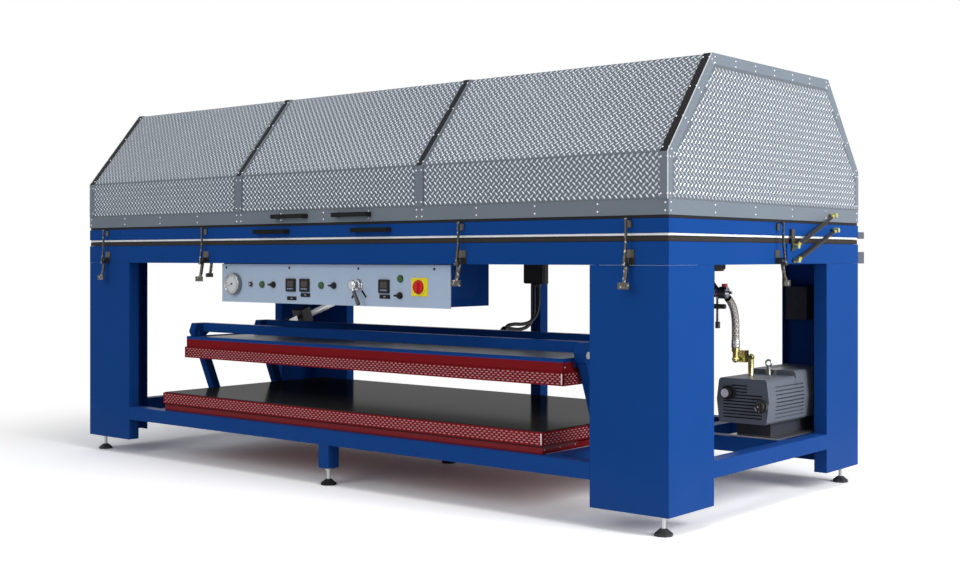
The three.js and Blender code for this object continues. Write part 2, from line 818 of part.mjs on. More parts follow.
function panelReturnOutline() {
  const back = panelFace + panelReturn;
  const c = panelReturnCorner;
  const outline = [[panelFace + weldBite, panelTop], [back, panelTop], [back, panelReturnBottom + c]];
  for (let i = 1; i <= cornerSteps; i += 1) {
    const turn = (i / cornerSteps) * (Math.PI / 2);
    outline.push([back - c + c * Math.cos(turn), panelReturnBottom + c - c * Math.sin(turn)]);
  }
  outline.push([panelFace + weldBite, panelReturnBottom]);
  return outline;
}

function addControlPanel() {
  const back = panelFace + panelThickness;
  const bottom = panelTop - panelHeight;
  const pieces = [block(-panelHalfLength, panelHalfLength, panelFace, back, bottom, panelTop)];
  for (const side of sides) {
    pieces.push(prism(
      'x', panelReturnOutline(), side * (panelHalfLength - panelThickness), side * panelHalfLength,
    ));
  }
  for (const [x, z] of lampPlaces) {
    pieces.push(disc('y', x, z, lampRadius, panelFace - lampHeight, panelFace + weldBite));
  }
  for (const [x, z] of controllerPlaces) {
    pieces.push(raised(x, z, controllerSize, controllerSize, controllerHeight));
  }
  for (const [x, z] of windowPlaces) pieces.push(raised(x, z, windowWidth, windowHeight, windowRise));
  for (const [x, z] of screwPlaces) {
    pieces.push(disc('y', x, z, screwRadius, panelFace - screwRise, panelFace + weldBite, coarseSides));
  }
  for (const share of markTurnsShares) pieces.push(valveMark(share));
  pieces.push(raised(...isolatorPlace, isolatorPlateWidth, isolatorPlateHeight, isolatorPlateRise));
  pieces.push(disc('y', ...valvePlace, valveRadius, panelFace - valveHeight, panelFace + weldBite));
  const stemBore = bore('y', ...buttonPlace, buttonStemRadius, panelFace - overrun, panelFace + overrun);
  place(
    machine, 'control_panel', cut(weld(pieces), stemBore),
    { color: panelGrey, roughness: 0.45, metalness: 0.4 },
  );
}

function addControlBox() {
  const front = panelFace + panelThickness + gap;
  const back = front + boxDepth;
  const half = panelHalfLength - panelThickness - gap;
  const bottom = panelTop - panelHeight + boxInset;
  const shell = cut(
    block(-half, half, front, back, bottom, bedBottom - gap),
    block(
      boxWall - half, half - boxWall, front - overrun, back - boxWall, bottom + boxWall, bedBottom + overrun,
    ),
  );
  place(machine, 'control_box', shell, steelBlue);
}

// Knobs, switches and the gauge
const knobRadius = 14;
const knobBase = 5;
const knobHeight = 20;
const knobGripHalf = 4.5;
const pointerReach = 20;

function selector([x, z]) {
  const back = panelFace - gap;
  const pointer = [
    [x - knobGripHalf, z + knobRadius / 2], [x - pointerReach, z + knobGripHalf],
    [x - pointerReach, z - knobGripHalf],
    [x - knobGripHalf, z - knobRadius / 2],
  ];
  return weld(
    disc('y', x, z, knobRadius, back - knobHeight, back),
    prism('y', pointer, back - knobHeight, back - knobBase),
  );
}

function addSelectors() {
  const selectorNames = ['left', 'middle', 'right'];
  selectorPlaces.forEach(([x, z], i) => {
    const group = jointGroup(machine, `selector_${selectorNames[i]}`, at(x, panelFace, z));
    place(group, `selector_${selectorNames[i]}`, selector([x, z]), blackPlastic);
  });
}

const buttonRadius = 11;
const buttonHeight = 9;
const buttonTravel = 4;
const buttonDomeRadius = 8;

function addButton() {
  const [x, z] = buttonPlace;
  const profile = [
    [0, buttonTravel + gap], [buttonRadius, buttonTravel + gap], [buttonRadius, buttonHeight],
    [buttonDomeRadius, buttonHeight + buttonTravel / 2], [0, buttonHeight + buttonTravel / 2],
  ];
  const stem = disc('y', x, z, buttonStemRadius, panelFace - buttonHeight, panelFace + buttonStemReach);
  const group = jointGroup(machine, 'push_button', at(x, panelFace, z));
  place(group, 'push_button', weld(turnedForward(profile, x, panelFace, z), stem), blackPlastic);
}

const isolatorRadius = 26;
const isolatorBase = 12;
const isolatorHeight = 30;
const isolatorGripHalf = 8;

function addIsolator() {
  const [x, z] = isolatorPlace;
  const back = panelFace - isolatorPlateRise - gap;
  const knob = weld(
    disc('y', x, z, isolatorRadius, back - isolatorBase, back, fineSides),
    block(
      x - isolatorGripHalf, x + isolatorGripHalf, back - isolatorHeight, back - isolatorBase / 2,
      z - isolatorRadius + gap, z + isolatorRadius - gap,
    ),
  );
  const group = jointGroup(machine, 'isolator_knob', at(x, panelFace, z));
  place(group, 'isolator_knob', knob, { color: 0xb01a1e, roughness: 0.4, metalness: 0 });
}

const leverTurnShare = 0.153;
const valveLeverLength = 88;
const valveLeverHalf = 8;
const valveLeverThickness = 12;
const gripStart = 24;

function addValveLever() {
  const [x, z] = valvePlace;
  const back = panelFace - valveHeight - gap;
  const turn = leverTurnShare * Math.PI;
  const point = (reach) => [x + reach * Math.sin(turn), z - reach * Math.cos(turn)];
  const grip = prism(
    'y', strut(point(gripStart), point(valveLeverLength), valveLeverHalf),
    back - valveNeckHeight, back - valveNeckHeight + valveLeverThickness,
  );
  const arm = prism(
    'y', strut(point(0), point(gripStart + valveLeverHalf), valveLeverHalf / 2),
    back - valveNeckHeight + weldBite, back - valveNeckHeight + valveLeverThickness - weldBite,
  );
  const lever = weld(disc('y', x, z, valveNeckRadius, back - valveNeckHeight, back), arm, grip);
  const group = jointGroup(machine, 'valve_lever', at(x, panelFace, z));
  place(group, 'valve_lever', lever, blackPlastic);
}

const gaugeRadius = 48;
const gaugeDepth = 26;
const gaugeRim = 6;
const gaugeRecess = 6;
const gaugeHubRadius = 4;

function addGauge() {
  const [x, z] = gaugePlace;
  const dial = gaugeDepth - gaugeRecess;
  const profile = [
    [0, gap], [gaugeRadius, gap], [gaugeRadius, gaugeDepth - gaugeRim],
    [gaugeRadius - gaugeRim / 2, gaugeDepth],
    [gaugeRadius - gaugeRim, gaugeDepth], [gaugeRadius - gaugeRim, dial], [gaugeHubRadius, dial],
    [gaugeHubRadius, dial + gaugeRecess / 2], [0, dial + gaugeRecess / 2],
  ];
  place(machine, 'vacuum_gauge', turnedForward(profile, x, panelFace, z, fineSides), brightMetal);
}

// Junction box and conduits on the rear middle post
const junctionXs = [-43, 80];
const junctionHeight = 104;
const junctionDepth = 45;
const junctionLid = 12;
const junctionLidInset = 3;
const conduitRadius = 9;
const glandRadius = 12;
const glandLength = 16;
const conduitRoutes = [
  [
    [24, 644, 792], [26, 642, 700], [30, 632, 650], [34, 590, 606],
    [34, 520, 590], [32, 440, 597], [30, 398, 600], [30, 382, 586],
  ],
  [
    [54, 644, 792], [56, 640, 712], [57, 624, 664], [56, 580, 628],
    [54, 520, 616], [52, 450, 618], [50, 402, 610], [50, 382, 586],
  ],
];
const conduitSteps = 10;
const conduitSides = 6;

function addJunctionBox() {
  const back = halfDepth - railSize - gap;
  const bottom = bedBottom - gap - junctionHeight;
  const [x0, x1] = junctionXs;
  const lidFace = back - junctionDepth;
  const box = weld(
    block(x0, x1, lidFace + junctionLid, back, bottom, bedBottom - gap),
    block(
      x0 + junctionLidInset, x1 - junctionLidInset, lidFace, lidFace + junctionLid + weldBite,
      bottom + junctionLidInset, bedBottom - gap - junctionLidInset,
    ),
  );
  place(machine, 'junction_box', box, { color: 0x33373c, roughness: 0.6, metalness: 0 });
}

function addConduit() {
  const boxBottom = bedBottom - gap - junctionHeight - gap;
  const platenFace = upperPlatenTop + gap;
  const pieces = [];
  for (const route of conduitRoutes) {
    const [x, y, z] = route[0];
    const [endX, endY, endZ] = route[route.length - 1];
    pieces.push(hose(route, conduitRadius, conduitSteps, conduitSides));
    pieces.push(disc('z', x, y, glandRadius, z - weldBite, boxBottom, coarseSides));
    pieces.push(disc('z', endX, endY, glandRadius, platenFace, endZ + weldBite, coarseSides));
  }
  const [first, second] = conduitRoutes.map((route) => route[0]);
  pieces.push(block(
    first[0], second[0], first[1] - glandRadius / 2, first[1] + glandRadius / 2,
    boxBottom - glandLength / 2, boxBottom,
  ));
  place(machine, 'platen_conduit', weld(pieces), blackRubber);
}

// Heating platens: a tray with ribs and a floor, the working plate on top
const trayWall = 3;
const platenPlate = 5;
const ribShares = [-1, -0.5, 0, 0.5, 1];
const ribInset = 60;
const ribThickness = 20;
const ribXs = ribShares.map((share) => share * (platenHalfLength - ribInset));
const lowerTrayHeight = 31;
const lowerPlatenHeight = 84;
const upperPlatenHeight = 98;
const upperWallHeight = 36;
const upperEdgeHeight = 14;
const upperEdgeWall = 8;
const upperPlateRecess = 5;
const guardHeight = 50;
const guardSheet = 2;
const guardStandOff = 4;
const upperPlatenTop = upperPlatenBottom + upperPlatenHeight;
const lowerPlatenTop = lowerPlatenBottom + lowerPlatenHeight;

function tray(front, z0, z1) {
  const back = front + platenDepth;
  const outer = block(-platenHalfLength, platenHalfLength, front, back, z0, z1);
  const inner = block(
    trayWall - platenHalfLength, platenHalfLength - trayWall, front + trayWall, back - trayWall,
    z0 - overrun, z1 + overrun,
  );
  return cut(outer, inner);
}

function platenRibs(front, z0, z1) {
  const back = front + platenDepth;
  return ribXs.map((x) => block(
    x - ribThickness / 2, x + ribThickness / 2, front, back, z0, z1,
  ));
}

function plate(front, z0, z1, inset = 0) {
  const half = platenHalfLength - inset;
  return block(-half, half, front + inset, front + platenDepth - inset, z0, z1);
}

// A perforated guard stands off the platen on tabs at the ribs
const guardTabWidth = 16;

function guard(front, z0) {
  const half = platenHalfLength + guardStandOff;
  const back = front + platenDepth;
  const z1 = z0 + guardHeight;
  const outer = block(
    -half - guardSheet, half + guardSheet, front - guardStandOff - guardSheet,
    back + guardStandOff + guardSheet, z0, z1,
  );
  const inner = block(-half, half, front - guardStandOff, back + guardStandOff, z0 - overrun, z1 + overrun);
  const middleZ = (z0 + z1) / 2;
  const tabs = [];
  for (const x of ribXs) {
    for (const [face, out] of [[front, -1], [back, 1]]) {
      tabs.push(block(
        x - guardTabWidth / 2, x + guardTabWidth / 2, face + out * gap,
        face + out * (guardStandOff + guardSheet / 2),
        middleZ - guardTabWidth, middleZ + guardTabWidth,
      ));
    }
  }
  return weld(cut(outer, inner), tabs);
}

function addLowerPlaten() {
  const front = lowerPlatenFront;
  const bottom = lowerPlatenBottom + gap;
  const trayTop = lowerPlatenBottom + lowerTrayHeight;
  const platen = weld(
    tray(front, bottom, trayTop),
    plate(front, bottom, bottom + trayWall),
    platenRibs(front, bottom, lowerPlatenTop - platenPlate / 2),
    plate(front, lowerPlatenTop - platenPlate, lowerPlatenTop),
  );
  place(machine, 'lower_platen', platen, { color: 0x1b1d20, roughness: 0.25, metalness: 0.4 });
  place(machine, 'lower_guard', guard(front, trayTop), redPaint);
}

// Upper platen with the four ears that hang on the swings
const earThickness = 6;
const earRadius = 14;
const earHalfFoot = 22;
const upperPinRadius = 9;
const earFootDrop = 45;

function ear(sideX, shift) {
  const y = swingUpperY + shift;
  const outline = [
    [y - earHalfFoot, swingUpperZ - earFootDrop], [y + earHalfFoot, swingUpperZ - earFootDrop],
  ];
  for (let i = 0; i <= lugSteps; i += 1) {
    const turn = (i / lugSteps) * Math.PI;
    outline.push([y + earRadius * Math.cos(turn), swingUpperZ + earRadius * Math.sin(turn)]);
  }
  const start = platenHalfLength - weldBite;
  const plateEnd = platenHalfLength + earThickness;
  const pinEnd = armOuterX + armToRetainer + retainerThickness;
  return weld(
    prism('x', outline, sideX * start, sideX * plateEnd),
    disc('x', y, swingUpperZ, upperPinRadius, sideX * start, sideX * pinEnd, coarseSides),
    disc('x', y, swingUpperZ, earRadius, sideX * (pinEnd - retainerThickness), sideX * pinEnd),
  );
}

function addUpperPlaten(parent) {
  const front = upperPlatenFront;
  const wallTop = upperPlatenTop - upperEdgeHeight;
  const edge = cut(
    plate(front, wallTop, upperPlatenTop),
    plate(front, wallTop - overrun, upperPlatenTop + overrun, upperEdgeWall),
  );
  const topPlate = upperPlatenTop - upperPlateRecess;
  const pieces = [
    edge,
    plate(front, topPlate - platenPlate, topPlate, upperEdgeWall / 2),
    tray(front, wallTop - upperWallHeight, wallTop + weldBite),
    platenRibs(front, upperPlatenBottom + weldBite, topPlate - platenPlate / 2),
    plate(front, upperPlatenBottom, upperPlatenBottom + platenPlate),
  ];
  for (const side of sides) {
    for (const shift of Object.values(swingShifts)) pieces.push(ear(side, shift));
  }
  const group = jointGroup(parent, 'upper_platen', at(0, swingUpperY, swingUpperZ));
  place(group, 'upper_platen', weld(pieces), redPaint);
  place(group, 'upper_guard', guard(front, wallTop - upperWallHeight - guardHeight), redPaint);
}

// Swing frames
const headTipAhead = 36;
const headTipAbove = 9;
const headShoulderAhead = 20;
const headFoot = 28;
const headBackClear = 30;

function swingArm(sideX, shift) {
  const lower = [swingLowerY + shift, swingLowerZ];
  const upper = [swingUpperY + shift, swingUpperZ];
  const length = Math.hypot(upper[0] - lower[0], upper[1] - lower[1]);
  const unit = [(upper[0] - lower[0]) / length, (upper[1] - lower[1]) / length];
  const foot = [lower[0] - unit[0] * armEndReach, lower[1] - unit[1] * armEndReach];
  const head = [
    [upper[0] - headTipAhead, upper[1] + headTipAbove],
    [upper[0] - headShoulderAhead, upper[1] + torsionAbove + torsionSize / 2],
    [upper[0] + torsionAhead + torsionSize / 2, upper[1] + torsionAbove + torsionSize / 2],
    [upper[0] + torsionAhead + torsionSize / 2, upper[1] + torsionAbove - torsionSize / 2],
    [upper[0] + headBackClear / 2, upper[1] - headFoot],
    [upper[0] - headTipAhead / 2, upper[1] - headFoot],
  ];
  const [x0, x1] = [sideX * armInnerX, sideX * armOuterX];
  const holes = [[lower, lowerPinRadius], [upper, upperPinRadius]].map(([[y, height], radius]) => bore(
    'x', y, height, radius, sideX * (armInnerX - overrun), sideX * (armOuterX + overrun), coarseSides,
  ));
  return cut(weld(prism('x', strut(foot, upper, armSize / 2), x0, x1), prism('x', head, x0, x1)), holes);
}

const cylinderLugHalf = 6;
const cylinderLugRadius = 16;

// The lug on the rear torsion tube that the cylinder's fork straddles
function cylinderLug() {
  const { y, z } = cylinderMoving;
  const [x0, x1] = [cylinderX - cylinderLugHalf, cylinderX + cylinderLugHalf];
  return weld(
    disc('x', y, z, cylinderLugRadius, x0, x1),
    link([rearTubeY, tubeZ], [y, z], cylinderLugRadius, x0, x1),
  );
}

function addSwing(name) {
  const shift = swingShifts[name];
  const group = jointGroup(machine, `${name}_swing_frame`, at(0, swingLowerY + shift, swingLowerZ));
  const tubeY = swingUpperY + shift + torsionAhead;
  const half = torsionSize / 2;
  const pieces = [block(-armOuterX, armOuterX, tubeY - half, tubeY + half, tubeZ - half, tubeZ + half)];
  for (const side of sides) pieces.push(swingArm(side, shift));
  if (name === 'rear') pieces.push(cylinderLug());
  place(group, `${name}_swing_frame`, weld(pieces), steelBlue);
  return group;
}

// Air cylinder: a hollow barrel on the bed's bracket and a rod with its piston
const capLength = 60;
const capHalf = 37;
const capStart = 68;
const rearCapEnd = 62;
const barrelRadius = 30;
const barrelBore = 26;
const pistonRadius = 25;
const pistonLength = 24;
const rodRadius = 10;
const rodClearance = 0.6;
const forkPlate = 8;
const forkGap = 1.5;
const forkHalf = 17;
const forkReach = 34;
const forkBridge = 14;
const fittingRadius = 7;
const fittingReach = 32;
const fittingInset = 14;
const clevisHalf = 20;
const pistonRest = 40;

// Builds along +X in its own frame, then lies it from the moving pivot to the fixed one
function cylinderMatrix() {
  const direction = cylinderFixed.clone().sub(cylinderMoving);
  const tilt = Math.atan2(direction.z, direction.y);
  return new THREE.Matrix4().makeTranslation(cylinderX, cylinderMoving.y, cylinderMoving.z)
    .multiply(new THREE.Matrix4().makeRotationX(tilt))
    .multiply(new THREE.Matrix4().makeRotationZ(Math.PI / 2));
}

function addCylinder() {
  const length = cylinderFixed.distanceTo(cylinderMoving);
  const rearEnd = length - rearCapEnd;
  const rearCap = rearEnd - capLength;
  const capEnd = capStart + capLength;
  const outside = weld(
    block(capStart, capEnd, -capHalf, capHalf, -capHalf, capHalf),
    disc('x', 0, 0, barrelRadius, capEnd - weldBite, rearCap + weldBite, fineSides),
    block(rearCap, rearEnd, -capHalf, capHalf, -capHalf, capHalf),
    block(rearEnd - weldBite, length, -tongueHalf, tongueHalf, -clevisHalf, clevisHalf),
    disc('y', length, 0, clevisHalf, -tongueHalf, tongueHalf),
    disc(
      'z', capStart + fittingInset, 0, fittingRadius, -capHalf - fittingReach, weldBite - capHalf,
      coarseSides,
    ),
    disc(
      'y', capStart + fittingInset, -capHalf / 2, fittingRadius, capHalf - weldBite,
      capHalf + fittingReach / 2, coarseSides,
    ),
  );
  const barrel = cut(
    outside,
    disc('x', 0, 0, barrelBore, capEnd - fittingInset, rearCap + fittingInset, fineSides),
    disc('x', 0, 0, rodRadius + rodClearance, capStart - overrun, capEnd, fineSides),
    bore('y', length, 0, cylinderPinRadius, -tongueHalf - overrun, tongueHalf + overrun, fineSides),
  );
  const bodyGroup = jointGroup(machine, 'cylinder_barrel', cylinderFixed);
  place(bodyGroup, 'cylinder_barrel', moved(barrel, cylinderMatrix()), brightMetal);
  const forkInner = cylinderLugHalf + forkGap;
  const forkOuter = forkInner + forkPlate;
  const forkEnd = forkReach + forkBridge;
  const pistonEnd = rearCap - pistonRest;
  const forkPlates = sides.map((side) => weld(
    disc('y', 0, 0, forkHalf, side * forkInner, side * forkOuter),
    block(0, forkEnd, side * forkInner, side * forkOuter, -forkHalf, forkHalf),
    disc('y', 0, 0, eyeRadius, side * (forkOuter - weldBite), side * (forkOuter + forkPlate / 2)),
  ));
  const rod = weld(
    forkPlates,
    block(forkReach, forkEnd, -forkOuter, forkOuter, -forkHalf, forkHalf),
    disc('x', 0, 0, rodRadius, forkEnd - weldBite, pistonEnd, fineSides),
    disc('x', 0, 0, pistonRadius, pistonEnd - pistonLength, pistonEnd, fineSides),
  );
  const rodGroup = jointGroup(bodyGroup, 'cylinder_rod', cylinderMoving);
  place(rodGroup, 'cylinder_rod', moved(rod, cylinderMatrix()), brightMetal);
}

// Handles: a flat bar on two posts, in the frame of the face that carries it
const handleLength = 196;
const handleBarHeight = 18;
const handleBarThickness = 12;
const handlePostWidth = 22;
const handleStandOff = 34;

function handle(x, z) {
  const face = -halfDepth;
  const bars = block(
    x - handleLength / 2, x + handleLength / 2, face - handleStandOff,
    face - handleStandOff + handleBarThickness,
    z - handleBarHeight / 2, z + handleBarHeight / 2,
  );
  const posts = sides.map((side) => {
    const end = x + side * (handleLength / 2);
    return block(
      end, end - side * handlePostWidth, face - handleStandOff + weldBite, face + weldBite,
      z - handleBarHeight / 2, z + handleBarHeight / 2,
    );
  });
  return weld(bars, posts);
}

// Hinge of the hood along the membrane frame's rear edge
const hoodHingeRise = 6.5;
const knuckleRadius = 6;
const hoodPinRadius = 2.5;
const knucklePitchShare = 0.1;
const knuckleGap = 1;
const leafThickness = 3;
const hoodHingeY = halfDepth + leafThickness + knuckleRadius;
const hoodHingeZ = frameTop + hoodHingeRise;
const knucklePitch = overallLength * knucklePitchShare;
const leafReach = 34;
const knuckleCount = 9;

function knuckle(index, own) {
  const start = (index - knuckleCount / 2) * knucklePitch;
  const end = start + knucklePitch - knuckleGap;
  const up = own ? 1 : -1;
  const leafEnd = hoodHingeZ + up * leafReach;
  return weld(
    disc('x', hoodHingeY, hoodHingeZ, knuckleRadius, start, end, tinySides),
    block(start, end, halfDepth, hoodHingeY - knuckleRadius + leafThickness / 2, hoodHingeZ, leafEnd),
    block(start, end, halfDepth - weldBite, halfDepth + weldBite, leafEnd - up * knuckleRadius, leafEnd),
  );
}

// Membrane frame
const memberWidth = 60;
const keeperHalf = 9;
const keeperOut = 6;
const keeperHeight = 24;
const keeperBelowTop = 6;
const dropHalf = 13;
const dropThickness = 5;
const dropFoot = 18;
const handleDrop = 23;
const lidHandleXs = [-303.5, 286];
const lidHandleZ = frameTop - handleDrop;
const skirtHandleXs = [-190.5, 177];
const skirtHandleZ = skirtTop - handleDrop;

function keeper() {
  return block(
    -keeperHalf, keeperHalf, weldBite, -keeperOut, frameTop - keeperBelowTop - keeperHeight,
    frameTop - keeperBelowTop,
  );
}

function dropBracket(sideX) {
  const { y, z } = hoodSpringLower;
  const start = halfLength + springPadThickness + wideGap;
  return weld(
    block(
      sideX * start, sideX * (start + dropThickness), y - dropHalf, y + dropHalf,
      z - dropFoot, frameTop - keeperHeight,
    ),
    block(
      sideX * (halfLength - weldBite), sideX * (start + weldBite), y - dropHalf, y + dropHalf,
      sheetTop + gap, frameTop - keeperHeight,
    ),
    stud(sideX, hoodSpringLower, start),
  );
}

function addMembraneFrame(group) {
  const pieces = [ring(halfLength, halfDepth, memberWidth, sheetTop + gap, frameTop)];
  for (const latch of latchPlaces) pieces.push(moved(keeper(), latchMatrix(latch)));
  for (const x of lidHandleXs) pieces.push(handle(x, lidHandleZ));
  for (const side of sides) {
    pieces.push(lidHinge(side), dropBracket(side), stud(side, lidSpringUpper));
  }
  for (let i = 0; i < knuckleCount; i += 2) pieces.push(knuckle(i, false));
  const pinHalf = (knuckleCount / 2) * knucklePitch - knuckleGap;
  pieces.push(disc('x', hoodHingeY, hoodHingeZ, hoodPinRadius, -pinHalf, pinHalf, tinySides));
  place(group, 'membrane_frame', weld(pieces), steelBlue);
  const sheetInset = 3;
  const sheet = block(
    sheetInset - halfLength, halfLength - sheetInset, sheetInset - halfDepth, halfDepth - sheetInset,
    bedSealTop + gap, sheetTop,
  );
  place(group, 'membrane_sheet', sheet, { color: white, roughness: 0.6, metalness: 0 });
}

// Hood: skirt, bent panels and end panels
const skirtWall = 40;
const hoodSealInset = 12;
const hoodSealWidth = 24;
const panelSheet = 3;
const endPanelDepth = 6;
const ribWidth = 40;
const ribRise = 3;
const trimWidth = 34;
const trimRise = 3;
const trimBand = 42;

// The hood's outline across its depth, moved outwards by an offset; the lower edge stays put
function hoodOutline(offset, lift = 0) {
  const slopeX = hoodSlopeRun;
  const slopeZ = hoodTop - hoodCrease;
  const length = Math.hypot(slopeX, slopeZ);
  const wallRise = offset * ((length - slopeZ) / slopeX);
  const roofRun = offset * ((length - slopeX) / slopeZ);
  const half = halfDepth + offset;
  const roofHalf = halfDepth - hoodSlopeRun + roofRun;
  const bottom = skirtTop + gap + lift;
  return [
    [-half, bottom], [-half, hoodCrease + wallRise], [-roofHalf, hoodTop + offset],
    [roofHalf, hoodTop + offset],
    [half, hoodCrease + wallRise], [half, bottom],
  ];
}

// The space under the hood's outline, open below, as a cutting tool
function hoodTool(offset, x0, x1) {
  return prism('x', hoodOutline(offset, -overrun), x0, x1);
}

function hoodBand(inner, outer, x0, x1) {
  const [low, high] = [Math.min(x0, x1), Math.max(x0, x1)];
  return cut(prism('x', hoodOutline(outer), low, high), hoodTool(inner, low - overrun, high + overrun));
}

function addHood(group) {
  const skirtPieces = [
    ring(halfLength, halfDepth, skirtWall, skirtBottom, skirtTop),
    ring(
      halfLength - hoodSealInset, halfDepth - hoodSealInset, hoodSealWidth, frameTop + gap,
      skirtBottom + weldBite,
    ),
  ];
  for (const x of skirtHandleXs) skirtPieces.push(handle(x, skirtHandleZ));
  for (const side of sides) skirtPieces.push(stud(side, hoodSpringUpper));
  const pinBore = bore(
    'x', hoodHingeY, hoodHingeZ, hoodPinRadius, -halfLength - overrun, halfLength + overrun, tinySides,
  );
  for (let i = 1; i < knuckleCount; i += 2) skirtPieces.push(cut(knuckle(i, true), pinBore));
  place(group, 'hood_skirt', weld(skirtPieces), greyPaint);
  const ribOuter = ribCentre + ribWidth / 2;
  const ribInner = ribCentre - ribWidth / 2;
  const endInner = halfLength - endPanelDepth;
  const middle = weld(
    hoodBand(-panelSheet, 0, -ribOuter, ribOuter),
    sides.map((side) => hoodBand(-panelSheet / 2, ribRise, side * ribInner, side * ribOuter)),
  );
  place(group, 'hood_panel_middle', middle, treadPlate);
  for (const side of sides) {
    const panel = hoodBand(-panelSheet, 0, side * (ribOuter + gap), side * (endInner - gap));
    place(group, side < 0 ? 'hood_panel_left' : 'hood_panel_right', panel, treadPlate);
    place(group, side < 0 ? 'hood_end_left' : 'hood_end_right', hoodEnd(side, endInner), treadPlate);
  }
}

// An end panel recessed in a border that wraps round the edges of the bent panels
function hoodEnd(side, endInner) {
  const inner = halfLength - trimWidth;
  return cut(
    prism('x', hoodOutline(trimRise), side * inner, side * halfLength),
    hoodTool(gap, side * (inner - overrun), side * endInner),
    prism(
      'x', hoodOutline(-trimBand, trimBand), side * (halfLength - panelSheet), side * (halfLength + overrun),
    ),
  );
}

// Gas springs
const springBarrelRadius = 9;
const springBore = 5;
const springRodRadius = 4;
const springBarrelShare = 0.74;
const eyeNeck = 6;
const springBase = 24;

function springMatrix(sideX, lower, upper) {
  const tilt = Math.atan2(upper.z - lower.z, upper.y - lower.y);
  return new THREE.Matrix4().makeTranslation(sideX * springAxisX, lower.y, lower.z)
    .multiply(new THREE.Matrix4().makeRotationX(tilt))
    .multiply(new THREE.Matrix4().makeRotationZ(Math.PI / 2));
}

function addSpring(parent, name, sideX, lower, upper) {
  const length = Math.hypot(upper.y - lower.y, upper.z - lower.z);
  const barrelEnd = length * springBarrelShare;
  const half = eyeWidth / 2;
  const barrel = cut(
    weld(
      disc('y', 0, 0, eyeRadius, -half, half, coarseSides),
      disc('x', 0, 0, eyeNeck, 0, springBase, coarseSides),
      disc('x', 0, 0, springBarrelRadius, springBase - weldBite, barrelEnd, coarseSides),
    ),
    disc('x', 0, 0, springBore, springBase + springBore, barrelEnd + overrun, coarseSides),
  );
  const rod = weld(
    disc('y', length, 0, eyeRadius, -half, half, coarseSides),
    disc('x', 0, 0, eyeNeck, barrelEnd + wideGap, length, coarseSides),
    disc('x', 0, 0, springRodRadius, springBase + springBase / 2, length, coarseSides),
  );
  const matrix = springMatrix(sideX, lower, upper);
  const barrelGroup = jointGroup(parent, `${name}_barrel`, at(sideX * springAxisX, lower.y, lower.z));
  place(barrelGroup, `${name}_barrel`, moved(barrel, matrix), blackPlastic);
  const rodGroup = jointGroup(barrelGroup, `${name}_rod`, at(sideX * springAxisX, upper.y, upper.z));
  place(rodGroup, `${name}_rod`, moved(rod, matrix), blackPlastic);
}

// Vacuum pump on the two pump rails
const pumpInsets = [310, 82];
const pumpBackInset = 70;
const pumpDepth = 565;
const pumpRise = 61;
const pumpHeight = 175;
const pumpWaistRise = 90;
const pumpShoulder = 8;
const pumpTaper = 10;
const motorDepth = 320;
const motorRise = 20;
const pumpPlateInsets = [286, 70];
const pumpPlateOverhangs = [50, -65];
const pumpXs = pumpInsets.map((inset) => halfLength - inset);
const pumpBack = halfDepth - pumpBackInset;
const pumpFront = pumpBack - pumpDepth;
const pumpBottom = railTop + pumpRise;
const pumpTop = pumpBottom + pumpHeight;
const pumpWaist = pumpBottom + pumpWaistRise;
const motorFront = pumpBack - motorDepth;
const pumpPlateXs = pumpPlateInsets.map((inset) => halfLength - inset);
const pumpPlateYs = [pumpFront + pumpPlateOverhangs[0], pumpBack + pumpPlateOverhangs[1]];
const pumpPlateThickness = 6;
const pedestalInset = 40;
const grooveHeight = 5;
const grooveDepth = 4;
const grooveRise = 20;
const sideGroovePitch = 15;
const sideGrooves = 9;
const sideGrooveReaches = [65, 305];
const frontGroovePitch = 12.5;
const frontGrooves = 11;
const shortGrooves = 3;
const frontGrooveReaches = [32, 32];
const shortGrooveReaches = [70, 96];
const eyeBoltInset = 200;
const eyeBoltReach = 225;
const eyeBoltRing = 13;
const eyeBoltWire = 4;
const eyeBoltStem = 30;
const eyeBoltStemRadius = 8;
const elbowInset = 250;
const elbowReach = 169;
const elbowRadius = 12;
const elbowKnuckle = 15;
const elbowRise = 72;
const hoseReach = 43;
const hoseRise = 117;
const ferruleRadius = 16;
const reliefHeight = 32;
const hoseRadius = 15;
const eyeBoltX = halfLength - eyeBoltInset;
const eyeBoltY = pumpFront + eyeBoltReach;
const elbowX = halfLength - elbowInset;
const elbowY = pumpFront + elbowReach;
const elbowHeight = pumpTop + elbowRise;
const hoseStartY = pumpFront + hoseReach;
const hoseStartZ = pumpTop + hoseRise;

function pumpOutline(rise) {
  const [x0, x1] = pumpXs;
  return [
    [x0 + pumpTaper + pumpShoulder, pumpBottom], [x1 - pumpTaper - pumpShoulder, pumpBottom],
    [x1 - pumpTaper, pumpBottom + pumpShoulder], [x1, pumpWaist],
    [x1 - pumpTaper, pumpTop + rise - pumpShoulder],
    [x1 - pumpTaper - pumpShoulder, pumpTop + rise], [x0 + pumpTaper + pumpShoulder, pumpTop + rise],
    [x0 + pumpTaper, pumpTop + rise - pumpShoulder], [x0, pumpWaist],
    [x0 + pumpTaper, pumpBottom + pumpShoulder],
  ];
}

